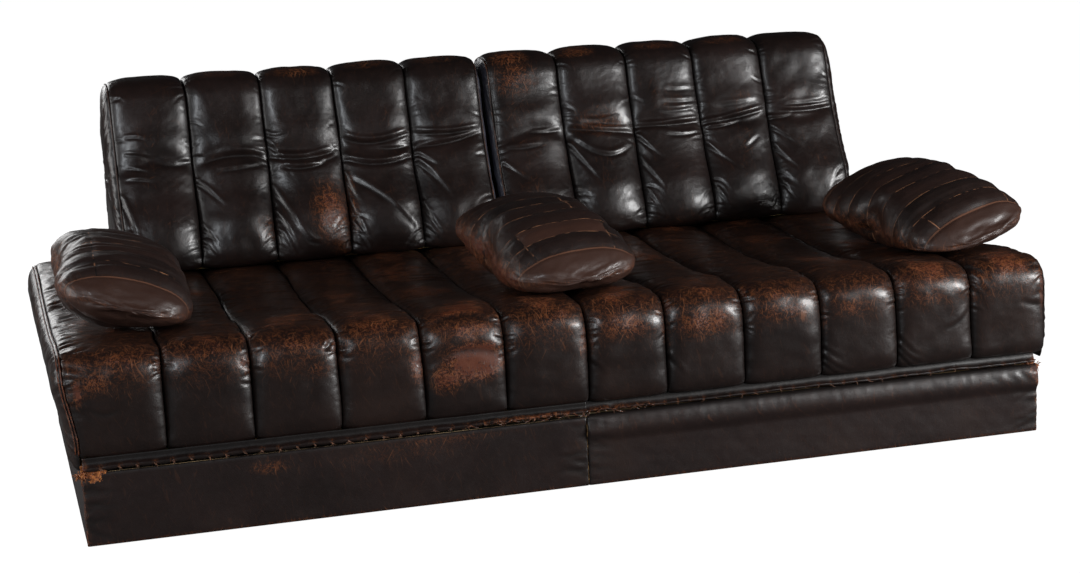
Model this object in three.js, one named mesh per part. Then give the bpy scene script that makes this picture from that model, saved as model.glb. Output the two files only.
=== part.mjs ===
// Worn leather day-bed sofa: a plinth base, a channelled mattress laced to it along the front,
// two loose wedge back cushions standing on the mattress, and three small patchwork pillows.
// Millimetres, +Z up, +X along the length, the front faces -Y. The origin is on the floor under
// the middle of the whole sofa.

import * as THREE from 'three';

// Driving dimensions
const channelPitch = 165;            // width of one sewn channel, on the seat and on the backs
const seatChannels = 12;
const backChannels = 5;
const overallDepth = 1000;
const seatCrown = 375;               // height of the channel crowns where the back cushions stand
const endCrown = 390;                // the same on the left end channel, which carries no cushion
const backHeight = 791;              // height of the back cushions' crowns
const endBulge = 30;                 // how far each padded end of the mattress stands out
const seamInset = 16;                // how far a sewn seam lies below the crown beside it
const wadding = 45;                  // leather and wadding over the mattress foam
const backWadding = 40;              // leather and wadding over the back cushion foam
const gap = 0.3;                     // clearance between pieces that touch

// Base
const baseLength = 1964;
const baseShift = -8;                // the mattress has slumped a little to the right of its base
const baseDepth = 980;
const baseTop = 145;
const coverThickness = 3;
const coverBottom = 3;
const boardThickness = 18;
const boardBottom = 6.5;
const deckThickness = 12;
const blockSize = 60;
const glideRadius = 20;
const glideHeight = 4.9;
const glideInset = 80;               // from the base's outer faces to a glide's centre
const dustClothThickness = 1;

// Laced joint between the mattress and the base
const bandTop = 175;
const bandThickness = 3;
const bandRecess = 12;               // the right half of the band lies this far behind the left half

// Back cushions
const backLeftStart = -825;          // left edge of the left cushion: one channel in from the end
const backShift = 29;                // the right cushion stands this far right of the left one
const outerGussetBulge = 20;
const innerGussetBulge = 9;
const rearPanelThickness = 12;

// Pillows
const pillowWidth = 300;
const pillowLength = 470;
const pillowThickness = 150;
const pillowFloor = 378;             // the pillows sag flat where they lie on the channel crowns

const finishes = {
  leather: { color: 0x2b211f, roughness: 0.42, metalness: 0 },
  patchworkLeather: { color: 0x35231e, roughness: 0.45, metalness: 0 },
  foam: { color: 0xd9c58e, roughness: 0.95, metalness: 0 },
  board: { color: 0xb48c5c, roughness: 0.75, metalness: 0 },
  cloth: { color: 0x1d1c1c, roughness: 0.9, metalness: 0 },
  plastic: { color: 0x222222, roughness: 0.5, metalness: 0 },
};

const sofa = new THREE.Group();

function addPiece(name, geometry, finish, place = [0, 0, 0]) {
  const mesh = new THREE.Mesh(geometry, new THREE.MeshStandardMaterial(finishes[finish]));
  mesh.name = name;
  mesh.position.set(...place);
  sofa.add(mesh);
  return mesh;
}

// A box given by its lowest and highest corners.
function addBox(name, low, high, finish) {
  const size = high.map((value, axis) => value - low[axis]);
  const centre = high.map((value, axis) => (value + low[axis]) / 2);
  addPiece(name, new THREE.BoxGeometry(...size), finish, centre);
}

// A closed body through sections that lie one after another along +X. Each section is
// { x, outline }, with the outline's [y, z] corners running anticlockwise as seen from +X.
function loft(sections) {
  const count = sections[0].outline.length;
  const corners = sections.flatMap(({ x, outline }) => outline.flatMap(([y, z]) => [x, y, z]));
  const triangles = [];
  for (let first = 0; first < (sections.length - 1) * count; first += count) {
    for (let i = 0; i < count; i++) {
      const [a, b] = [first + i, first + ((i + 1) % count)];
      triangles.push(a, b, b + count, a, b + count, a + count);
    }
  }
  const capFaces = (section) => THREE.ShapeUtils.triangulateShape(
    section.outline.map(([y, z]) => new THREE.Vector2(y, z)), []);
  capFaces(sections[0]).forEach(([a, b, c]) => triangles.push(a, c, b));
  const last = (sections.length - 1) * count;
  capFaces(sections.at(-1)).forEach(([a, b, c]) => triangles.push(last + a, last + b, last + c));
  const geometry = new THREE.BufferGeometry();
  geometry.setAttribute('position', new THREE.Float32BufferAttribute(corners, 3));
  geometry.setIndex(triangles);
  return geometry;
}

// Moves each corner of an open [y, z] line to its right-hand side by a distance.
function inset(line, distance) {
  return line.map(([y, z], i) => {
    const [y0, z0] = line[Math.max(i - 1, 0)];
    const [y1, z1] = line[Math.min(i + 1, line.length - 1)];
    const length = Math.hypot(y1 - y0, z1 - z0);
    return [y + ((z1 - z0) / length) * distance, z - ((y1 - y0) / length) * distance];
  });
}

// Shrinks a closed [y, z] outline towards its middle by a distance on each side.
function shrink(outline, distance) {
  const ys = outline.map(([y]) => y);
  const zs = outline.map(([, z]) => z);
  const [y0, y1] = [Math.min(...ys), Math.max(...ys)];
  const [z0, z1] = [Math.min(...zs), Math.max(...zs)];
  const [yc, zc] = [(y0 + y1) / 2, (z0 + z1) / 2];
  const [ky, kz] = [1 - (2 * distance) / (y1 - y0), 1 - (2 * distance) / (z1 - z0)];
  return outline.map(([y, z]) => [yc + (y - yc) * ky, zc + (z - zc) * kz]);
}

// One padded channel, crowned between its two seams. crown is the outer line over the cushion,
// and inner the line where its wadding meets the foam.
function channel(start, crown, inner) {
  const stations = [[gap / 2, seamInset], [channelPitch * 0.25, 0],
    [channelPitch * 0.75, 0], [channelPitch - gap / 2, seamInset]];
  return loft(stations.map(([along, sunk]) => (
    { x: start + along, outline: [...inner, ...inset(crown, sunk).reverse()] })));
}

// A padded end panel: flat inside, bulging out to one side of its seam outline.
function bulgedPanel(outline, seam, bulge, side) {
  const steps = [[gap, 0], [bulge * 0.6, 12], [bulge, 45]];
  const sections = steps.map(([out, drawn]) => (
    { x: seam + side * out, outline: shrink(outline, drawn) }));
  return loft(side > 0 ? sections : sections.reverse());
}

// ---- Base: boards, blocks, deck, leather covers, glides and dust cloth ----

const baseLeft = baseShift - baseLength / 2;
const baseRight = baseShift + baseLength / 2;
const baseFront = -baseDepth / 2;
const baseRear = baseDepth / 2;
const skin = coverThickness + gap;
const boardTop = baseTop - deckThickness - gap;
const insideFront = baseFront + skin + boardThickness + gap;
const insideRear = baseRear - skin - boardThickness - gap;

addBox('base_front_board', [baseLeft + skin, baseFront + skin, boardBottom],
  [baseRight - skin, insideFront - gap, boardTop], 'board');
addBox('base_rear_board', [baseLeft + skin, insideRear + gap, boardBottom],
  [baseRight - skin, baseRear - skin, boardTop], 'board');
addBox('base_left_board', [baseLeft + skin, insideFront, boardBottom],
  [baseLeft + skin + boardThickness, insideRear, boardTop], 'board');
addBox('base_right_board', [baseRight - skin - boardThickness, insideFront, boardBottom],
  [baseRight - skin, insideRear, boardTop], 'board');
addBox('base_centre_rail', [baseShift - boardThickness / 2, insideFront, boardBottom],
  [baseShift + boardThickness / 2, insideRear, boardTop], 'board');

const insideLeft = baseLeft + skin + boardThickness + gap;
const insideRight = baseRight - skin - boardThickness - gap;
for (const [side, x] of [['left', insideLeft], ['right', insideRight - blockSize]]) {
  for (const [row, y] of [['front', insideFront + gap], ['rear', insideRear - gap - blockSize]]) {
    addBox(`corner_block_${row}_${side}`, [x, y, boardBottom],
      [x + blockSize, y + blockSize, boardTop], 'board');
  }
}

addBox('deck_panel_left', [baseLeft + skin, baseFront + skin, boardTop + gap],
  [baseShift - gap / 2, baseRear - skin, baseTop], 'board');
addBox('deck_panel_right', [baseShift + gap / 2, baseFront + skin, boardTop + gap],
  [baseRight - skin, baseRear - skin, baseTop], 'board');

addBox('base_cover_front_left', [baseLeft, baseFront, coverBottom],
  [baseShift - gap / 2, baseFront + coverThickness, baseTop], 'leather');
addBox('base_cover_rear', [baseLeft, baseRear - coverThickness, coverBottom],
  [baseRight, baseRear, baseTop], 'leather');
addBox('base_cover_left', [baseLeft, baseFront + skin, coverBottom],
  [baseLeft + coverThickness, baseRear - skin, baseTop], 'leather');
addBox('base_cover_right', [baseRight - coverThickness, baseFront + skin, coverBottom],
  [baseRight, baseRear - skin, baseTop], 'leather');

// The right front panel ends in a padded roll along its top edge.
const rollRadius = 13;
const rollCentre = baseTop - rollRadius;
const rollArc = [90, 130, 170, 210, 250].map((degrees) => {
  const angle = THREE.MathUtils.degToRad(degrees);
  return [baseFront + coverThickness + Math.cos(angle) * (rollRadius - coverThickness),
    rollCentre + Math.sin(angle) * rollRadius];
});
const rolledOutline = [...rollArc, [baseFront, rollCentre - rollRadius], [baseFront, coverBottom],
  [baseFront + coverThickness, coverBottom]];
addPiece('base_cover_front_right', loft([
  { x: baseShift + gap / 2, outline: rolledOutline },
  { x: baseRight, outline: rolledOutline },
]), 'leather');

const glide = new THREE.CylinderGeometry(glideRadius, glideRadius, glideHeight, 20);
glide.rotateX(Math.PI / 2);
for (const [side, x] of [['left', baseLeft + glideInset], ['right', baseRight - glideInset]]) {
  for (const [row, y] of [['front', baseFront + glideInset], ['rear', baseRear - glideInset]]) {
    addPiece(`glide_${row}_${side}`, glide.clone(), 'plastic', [x, y, glideHeight / 2]);
  }
}

const dustClothBottom = glideHeight + gap;
addBox('dust_cloth', [baseLeft + skin, baseFront + skin, dustClothBottom],
  [baseRight - skin, baseRear - skin, dustClothBottom + dustClothThickness], 'cloth');

// ---- Laced band between the mattress and the base ----

const bandBottom = baseTop + gap;
addBox('laced_band_left', [baseLeft + coverThickness, baseFront, bandBottom],
  [baseShift - gap / 2, baseFront + bandThickness, bandTop], 'leather');
addBox('laced_band_right', [baseShift + gap / 2, baseFront + bandRecess, bandBottom],
  [baseRight - coverThickness, baseFront + bandRecess + bandThickness, bandTop], 'leather');

// ---- Mattress: foam core, twelve channels, two padded ends and an underside cloth ----

const mattressFront = -overallDepth / 2;
const mattressRear = overallDepth / 2;
const mattressHalf = (channelPitch * seatChannels) / 2;
const mattressBottom = baseTop + 2.3;
const frontCrown = 377;
const seatSag = 15;                  // how far the seat has sunk where people sat
const shoulder = 58;                 // radius of the mattress's long edges

function quarterArc(yc, zc, radius, from) {
  return [0, 45, 90].map((turn) => {
    const angle = THREE.MathUtils.degToRad(from - turn);
    return [yc + Math.cos(angle) * radius, zc + Math.sin(angle) * radius];
  });
}

// Crown line over the mattress, from the bottom of the front to the bottom of the rear.
function seatLine(rearCrown) {
  return [
    [mattressFront + 4, bandTop + 1],
    ...quarterArc(mattressFront + shoulder, frontCrown - shoulder, shoulder, 180),
    [-343, frontCrown],
    [-200, frontCrown - seatSag],
    [0, frontCrown - seatSag],
    [200, seatCrown],
    [320, rearCrown],
    ...quarterArc(mattressRear - shoulder, rearCrown - shoulder, shoulder, 90),
    [mattressRear, mattressBottom + 6],
  ];
}

// The line a given depth inside a crown line, with its two ends on the underside.
function seatInnerLine(line, thickness) {
  return [[mattressFront + thickness, mattressBottom], ...inset(line, thickness).slice(1, -1),
    [mattressRear - thickness, mattressBottom]];
}

const mattressFoamOutline = seatInnerLine(seatLine(seatCrown), wadding + gap).reverse();
addPiece('mattress_foam', loft([
  { x: -mattressHalf, outline: mattressFoamOutline },
  { x: mattressHalf, outline: mattressFoamOutline },
]), 'foam');

// Behind the laced band the channels' undersides step down to the deck.
const lip = [baseFront + bandRecess + bandThickness + 2, bandTop + 1];
const channelInnerLine = [lip, ...seatInnerLine(seatLine(seatCrown), wadding)];
for (let i = 0; i < seatChannels; i++) {
  const name = `seat_channel_${String(i + 1).padStart(2, '0')}`;
  const start = i * channelPitch - mattressHalf;
  const rearCrown = i === 0 ? endCrown : seatCrown;
  addPiece(name, channel(start, seatLine(rearCrown), channelInnerLine), 'leather');
}

for (const [side, sign, rearCrown] of [['left', -1, endCrown], ['right', 1, seatCrown]]) {
  const outline = seatInnerLine(seatLine(rearCrown), seamInset).reverse();
  const panel = bulgedPanel(outline, sign * mattressHalf, endBulge, sign);
  addPiece(`mattress_end_${side}`, panel, 'leather');
}

addBox('mattress_underside', [-mattressHalf, mattressFront + wadding, baseTop + gap],
  [mattressHalf, mattressRear - wadding, mattressBottom - gap], 'cloth');

// ---- Back cushions: foam core, five channels, two gussets and a rear panel each ----

const backBottom = seatCrown + gap;
const backRear = mattressRear - rearPanelThickness - gap;

// Crown line over a back cushion: full belly above the seat, leaning back to a rounded top.
const backLine = [
  [212, backBottom],
  [200, backBottom + 30],
  [198, backBottom + 70],
  [212, backBottom + 110],
  [252, backBottom + 165],
  [287, backBottom + 240],
  [312, backBottom + 315],
  [332, backHeight - 38],
  [368, backHeight - 8],
  [420, backHeight],
  [464, backHeight - 16],
  [backRear, backHeight - 52],
];

// The line a given depth inside the crown, from the underside to the rear panel.
function backInnerLine(thickness) {
  return [[backLine[0][0] + thickness, backBottom], ...inset(backLine, thickness).slice(1, -1),
    [backRear, backLine.at(-1)[1] - thickness]];
}

const backFoamOutline = [...backInnerLine(backWadding + gap), [backRear, backBottom]].reverse();
const gussetOutline = [...backInnerLine(seamInset), [backRear, backBottom]].reverse();
const rearPanelOutline = [
  [backRear + gap, backBottom], [mattressRear - 4, backBottom],
  [mattressRear, backBottom + 30], [mattressRear, backHeight - 90],
  [mattressRear - 4, backHeight - 60], [backRear + gap, backHeight - 56],
];

function addBackCushion(side, start) {
  const end = start + channelPitch * backChannels;
  addPiece(`back_${side}_foam`, loft([
    { x: start, outline: backFoamOutline },
    { x: end, outline: backFoamOutline },
  ]), 'foam');
  for (let i = 0; i < backChannels; i++) {
    const strip = channel(start + i * channelPitch, backLine, backInnerLine(backWadding));
    addPiece(`back_${side}_channel_${i + 1}`, strip, 'leather');
  }
  const [leftBulge, rightBulge] = side === 'left'
    ? [outerGussetBulge, innerGussetBulge] : [innerGussetBulge, outerGussetBulge];
  addPiece(`back_${side}_gusset_left`, bulgedPanel(gussetOutline, start, leftBulge, -1), 'leather');
  addPiece(`back_${side}_gusset_right`, bulgedPanel(gussetOutline, end, rightBulge, 1), 'leather');
  addPiece(`back_${side}_rear_panel`, loft([
    { x: start, outline: rearPanelOutline },
    { x: end, outline: rearPanelOutline },
  ]), 'leather');
}

addBackCushion('left', backLeftStart);
addBackCushion('right', backLeftStart + channelPitch * backChannels + backShift);

// ---- Patchwork pillows ----

// A soft block with a lens section, thickest at its middle, laid along +Y by its yaw. Its
// underside is pressed flat on the seat.
function pillow(place, yaw, pitch, roll) {
  const around = 14;
  const lengthSteps = [-1, -0.86, -0.5, 0, 0.5, 0.86, 1];
  const sections = lengthSteps.map((t) => {
    const taper = Math.sqrt(1 - 0.62 * Math.abs(t) ** 3);
    const narrow = 1 - 0.16 * Math.abs(t) ** 4;
    const outline = Array.from({ length: around }, (_, i) => {
      const angle = (i / around) * Math.PI * 2;
      const across = Math.cos(angle) * (pillowWidth / 2) * narrow;
      const lift = Math.sign(Math.sin(angle)) * Math.abs(Math.sin(angle)) ** 0.9;
      return [across, lift * (pillowThickness / 2) * taper];
    });
    return { x: (t * pillowLength) / 2, outline };
  });
  const geometry = loft(sections);
  geometry.rotateZ(-Math.PI / 2);
  geometry.rotateY(roll);
  geometry.rotateX(pitch);
  geometry.rotateZ(yaw);
  geometry.translate(...place);
  const corners = geometry.getAttribute('position');
  for (let i = 0; i < corners.count; i++) {
    corners.setZ(i, Math.max(corners.getZ(i), pillowFloor));
  }
  return geometry;
}

const degrees = THREE.MathUtils.degToRad;
addPiece('pillow_left', pillow([-866, -155, 443], degrees(-1), degrees(3), degrees(17)),
  'patchworkLeather');
addPiece('pillow_middle', pillow([-4, -200, 446], degrees(5), degrees(7), degrees(-4)),
  'patchworkLeather');
addPiece('pillow_right', pillow([852, -180, 443], degrees(10), degrees(5), degrees(-15)),
  'patchworkLeather');

export default sofa;
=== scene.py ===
# Worn leather day-bed sofa: a plinth base, a channelled mattress laced to it, two loose back
# cushions and three patchwork pillows, put together in that order. Metres, in the part's frame.

import math

import bpy
import numpy as np
from mathutils import Matrix, Vector


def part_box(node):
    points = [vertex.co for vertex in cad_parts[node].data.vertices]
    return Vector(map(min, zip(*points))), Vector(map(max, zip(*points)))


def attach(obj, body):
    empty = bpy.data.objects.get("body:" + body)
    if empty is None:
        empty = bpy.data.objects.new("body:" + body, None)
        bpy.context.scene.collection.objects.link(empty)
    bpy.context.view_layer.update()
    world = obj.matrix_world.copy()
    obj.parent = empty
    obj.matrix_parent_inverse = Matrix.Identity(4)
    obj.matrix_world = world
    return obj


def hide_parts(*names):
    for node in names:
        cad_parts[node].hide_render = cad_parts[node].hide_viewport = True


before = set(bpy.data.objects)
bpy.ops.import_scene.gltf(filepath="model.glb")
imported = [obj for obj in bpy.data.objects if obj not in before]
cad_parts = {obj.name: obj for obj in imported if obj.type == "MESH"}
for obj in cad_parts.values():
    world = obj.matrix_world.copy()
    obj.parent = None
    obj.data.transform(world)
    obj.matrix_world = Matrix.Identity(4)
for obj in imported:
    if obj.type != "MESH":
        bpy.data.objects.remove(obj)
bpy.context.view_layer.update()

# ---- Camera ----
# A photographer's tripod to the left of the sofa's middle, a little above its back, with a short
# telephoto lens and the head tipped slightly to one side.

heading, tilt, lean = (math.radians(angle) for angle in (14.871, 11.479, -2.613))
ahead = Vector((math.sin(heading) * math.cos(tilt), math.cos(heading) * math.cos(tilt),
                -math.sin(tilt)))
level = ahead.cross(Vector((0, 0, 1))).normalized()
upright = level.cross(ahead)
camera_right = level * math.cos(lean) + upright * math.sin(lean)
camera_up = upright * math.cos(lean) - level * math.sin(lean)

lens = bpy.data.cameras.new("camera")
lens.lens = 72.66
lens.sensor_width = 36
camera = bpy.data.objects.new("camera", lens)
camera.matrix_world = (Matrix.Translation((-1.1551, -4.4955, 1.2574))
                       @ Matrix((camera_right, camera_up, -ahead)).transposed().to_4x4())
bpy.context.scene.collection.objects.link(camera)
bpy.context.scene.camera = camera

# ---- Plinth timber ----
# Pine boards, a centre rail and glued corner blocks make a box frame. Birch plywood decks close
# its top. All of it is hidden under the leather, so the solids keep their plain sawn shapes.


def linear(code):
    """The linear colour of an sRGB hex code."""
    channels = [int(code[i:i + 2], 16) / 255 for i in (1, 3, 5)]
    return tuple(c / 12.92 if c <= 0.04045 else ((c + 0.055) / 1.055) ** 2.4
                 for c in channels) + (1,)


def add_node(tree, kind, inputs=(), stops=(), **settings):
    """Adds a shader node. inputs maps its sockets to values, other nodes' outputs, or nodes for
    their first output, and stops are a colour ramp's (place, colour code) pairs."""
    node = tree.nodes.new("ShaderNode" + kind)
    for setting, value in settings.items():
        setattr(node, setting, value)
    for socket, value in dict(inputs).items():
        if isinstance(value, bpy.types.Node):
            value = next(output for output in value.outputs if output.enabled)
        if isinstance(value, bpy.types.NodeSocket):
            tree.links.new(value, node.inputs[socket])
        elif isinstance(value, str):
            node.inputs[socket].default_value = linear(value)
        else:
            node.inputs[socket].default_value = value
    for i, (place, code) in enumerate(stops):
        stop = node.color_ramp.elements[i] if i < 2 else node.color_ramp.elements.new(place)
        stop.position = place
        stop.color = linear(code)
    return node


def finish_shader(shader, sockets):
    """Links nodes' first outputs in use to a shader's sockets."""
    for socket, node in sockets.items():
        output = next(output for output in node.outputs if output.enabled)
        shader.id_data.links.new(output, shader.inputs[socket])


def new_material(name, settings):
    """A material with one Principled shader, and its tree. settings are the shader's sockets."""
    material = bpy.data.materials.new(name)
    material.use_nodes = True
    tree = material.node_tree
    tree.nodes.clear()
    shader = add_node(tree, "BsdfPrincipled", settings)
    add_node(tree, "OutputMaterial", {"Surface": shader.outputs[0]})
    return material, tree, shader


def sawn_timber(name, stretch, pale, dark, ring_width):
    """Sawn softwood or veneer: straight grain lines with darker late wood, matt and faintly
    furry from the saw. stretch is the noise's squeeze on each axis, small along the grain."""
    material, tree, shader = new_material(name, {"Roughness": 0.78, "IOR": 1.53})
    place = add_node(tree, "TexCoord").outputs["Object"]
    grain_space = add_node(tree, "Mapping", {"Vector": place, "Scale": stretch})
    rings = add_node(tree, "TexNoise", {
        "Vector": grain_space.outputs[0], "Scale": 1 / ring_width, "Detail": 6.0,
        "Roughness": 0.62, "Distortion": 0.6})
    tone = add_node(tree, "ValToRGB", {"Fac": rings.outputs["Fac"]},
                    stops=[(0.32, pale), (0.62, dark)])
    fibres = add_node(tree, "TexNoise", {
        "Vector": grain_space.outputs[0], "Scale": 4 / ring_width, "Detail": 3.0})
    rough = add_node(tree, "Bump", {
        "Height": fibres.outputs["Fac"], "Distance": 0.0004, "Strength": 0.6})
    finish_shader(shader, {"Base Color": tone, "Normal": rough})
    return material


def finish_nodes(material, *nodes):
    """Gives CAD nodes this material."""
    for node in nodes:
        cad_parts[node].data.materials.clear()
        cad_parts[node].data.materials.append(material)


# Growth rings in pine are about 4 mm apart, and rotary-cut birch figure is wider.
pine_along = sawn_timber("sawn_pine_along_x", (0.06, 1, 1), "#d9b483", "#b5824c", 0.008)
pine_across = sawn_timber("sawn_pine_along_y", (1, 0.06, 1), "#d9b483", "#b5824c", 0.008)
pine_upright = sawn_timber("sawn_pine_upright", (1, 1, 0.06), "#d2ab78", "#a97843", 0.008)
birch_ply = sawn_timber("birch_plywood", (0.1, 0.5, 1), "#dcc298", "#c4a170", 0.03)
finish_nodes(pine_along, "base_front_board", "base_rear_board")
finish_nodes(pine_across, "base_left_board", "base_right_board", "base_centre_rail")
finish_nodes(pine_upright, "corner_block_front_left", "corner_block_front_right",
             "corner_block_rear_left", "corner_block_rear_right")
finish_nodes(birch_ply, "deck_panel_left", "deck_panel_right")

# ---- Glides ----
# Four polypropylene discs, injection moulded with a rounded rim and nailed up into the corners,
# keep the leather clear of the floor.


def make_piece(name, points, faces, material, replaced=(), marks=()):
    """A smooth-shaded mesh piece that rides on the sofa. marks maps attribute names to one
    number for each point, and replaced names the CAD nodes that it stands for."""
    mesh = bpy.data.meshes.new(name)
    mesh.from_pydata(np.asarray(points).tolist(), [], faces)
    mesh.polygons.foreach_set("use_smooth", np.ones(len(mesh.polygons), bool))
    for mark, values in dict(marks).items():
        attribute = mesh.attributes.new(mark, "FLOAT", "POINT")
        attribute.data.foreach_set("value", np.ascontiguousarray(values, np.float32).ravel())
    mesh.materials.append(material)
    mesh.validate()
    piece = bpy.data.objects.new(name, mesh)
    bpy.context.scene.collection.objects.link(piece)
    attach(piece, "root")
    if replaced:
        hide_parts(*replaced)
    return piece


def grid_faces(rows, columns, start=0, closed=False):
    """Quads between a grid's neighbouring points. closed joins the last column to the first."""
    low = start + np.arange(rows - 1)[:, None] * columns
    column = np.arange(columns if closed else columns - 1)[None, :]
    beside = (column + 1) % columns
    return np.stack([low + column, low + beside, low + beside + columns,
                     low + column + columns], axis=-1).reshape(-1, 4).tolist()


def turned_disc(low, high, rounding):
    """Points and faces of a disc inside a box, its edges turned to a radius."""
    sides = 48
    centre = (low + high) / 2
    radius = (high.x - low.x) / 2
    corner = np.radians(np.linspace(0, 90, 5))
    outline = [(radius - rounding + rounding * math.sin(a), low.z + rounding * (1 - math.cos(a)))
               for a in corner]
    outline += [(radius - rounding + rounding * math.cos(a),
                 high.z - rounding * (1 - math.sin(a))) for a in corner]
    around = np.linspace(0, 2 * math.pi, sides, endpoint=False)
    points = [(centre.x + r * math.cos(a), centre.y + r * math.sin(a), z)
              for r, z in outline for a in around]
    last = (len(outline) - 1) * sides
    faces = grid_faces(len(outline), sides, closed=True)
    faces.append(list(range(sides))[::-1])
    faces.append([last + i for i in range(sides)])
    return points, faces


# Moulded polypropylene gives an even low gloss, with a fine spark-eroded texture.
polypropylene, tree, shader = new_material("moulded_polypropylene", {
    "Base Color": "#1d1d1e", "Roughness": 0.46, "IOR": 1.49})
spark = add_node(tree, "TexNoise", {
    "Vector": add_node(tree, "TexCoord").outputs["Object"], "Scale": 1500.0,
    "Detail": 2.0})
texture = add_node(tree, "Bump", {
    "Height": spark.outputs["Fac"], "Distance": 0.0001, "Strength": 0.5})
scuffed = add_node(tree, "MapRange", {
    "Value": spark.outputs["Fac"], "To Min": 0.4, "To Max": 0.55})
finish_shader(shader, {"Normal": texture, "Roughness": scuffed})

for corner in ("front_left", "front_right", "rear_left", "rear_right"):
    low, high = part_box(f"glide_{corner}")
    points, faces = turned_disc(low, high, 0.0012)
    make_piece(f"nailed_glide_{corner}", points, faces, polypropylene,
               [f"glide_{corner}"])

# ---- Dust cloth ----
# Thin black bonded cloth, stapled flat under the boards. It sags a little between its staples.


def skin(outer, inner):
    """Points and faces of a closed skin between an outer grid, whose rows run up and whose
    columns run to the right as seen from outside, and an inner grid of the same shape."""
    rows, columns = outer.shape[:2]
    count = rows * columns
    faces = grid_faces(rows, columns)
    faces += [face[::-1] for face in grid_faces(rows, columns, count)]
    edge = [*range(columns), *range(2 * columns - 1, count, columns),
            *range(count - 2, count - columns - 1, -1),
            *range(count - 2 * columns, 0, -columns)]
    for a, b in zip(edge, edge[1:] + edge[:1]):
        faces.append([b, a, a + count, b + count])
    return np.concatenate([outer.reshape(-1, 3), inner.reshape(-1, 3)]), faces


def both_sides(**marks):
    """Marks of a skin's outer grid, laid on its inner grid as well."""
    return {mark: np.tile(values.ravel(), 2) for mark, values in marks.items()}


def bonded_cloth(name, code, thread):
    """Spun-bonded or plain woven lining: dull, dark, with a fine thread pattern."""
    material, tree, shader = new_material(name, {
        "Roughness": 0.92, "Sheen Weight": 0.12, "Sheen Roughness": 0.6})
    place = add_node(tree, "TexCoord").outputs["Object"]
    threads = add_node(tree, "TexVoronoi", {"Vector": place, "Scale": 1 / thread})
    lint = add_node(tree, "TexNoise", {"Vector": place, "Scale": 40.0, "Detail": 5.0})
    mottle = add_node(tree, "Mix", {
        0: lint.outputs["Fac"], 6: code, 7: "#2c2a29"}, data_type="RGBA")
    weave = add_node(tree, "Bump", {
        "Height": threads.outputs["Distance"], "Distance": 0.0006, "Strength": 0.5})
    finish_shader(shader, {"Base Color": mottle, "Normal": weave})
    return material


def hung_lining(name, box, thickness, sag, span):
    """A closed cloth mesh that fills a thin box's outline and sags between its fixings."""
    low, high = box
    x = np.linspace(low.x, high.x, 50)
    y = np.linspace(low.y, high.y, 25)
    xs, ys = np.meshgrid(x, y)
    free = np.minimum.reduce([xs - low.x, high.x - xs, ys - low.y, high.y - ys])
    droop = sag * np.clip(free / 0.1, 0, 1) * (0.6 + 0.4 * np.sin(xs / span) * np.cos(ys / span))
    top = np.stack([xs, ys, high.z - droop], axis=-1)
    below = top - np.array([0, 0, thickness])
    return skin(top, below)


lining = bonded_cloth("bonded_lining", "#171616", 0.0015)
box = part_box("dust_cloth")
points, faces = hung_lining("dust_lining", box, 0.0006, 0.002, 0.07)
dust_lining = make_piece("dust_lining", points, faces, lining, ["dust_cloth"])

# ---- Base covers ----
# Pigmented cowhide stretched over the boards, turned under along the floor and sewn at the
# corners. The right half of the front ends in a padded roll, and both front corners are torn.


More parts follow.
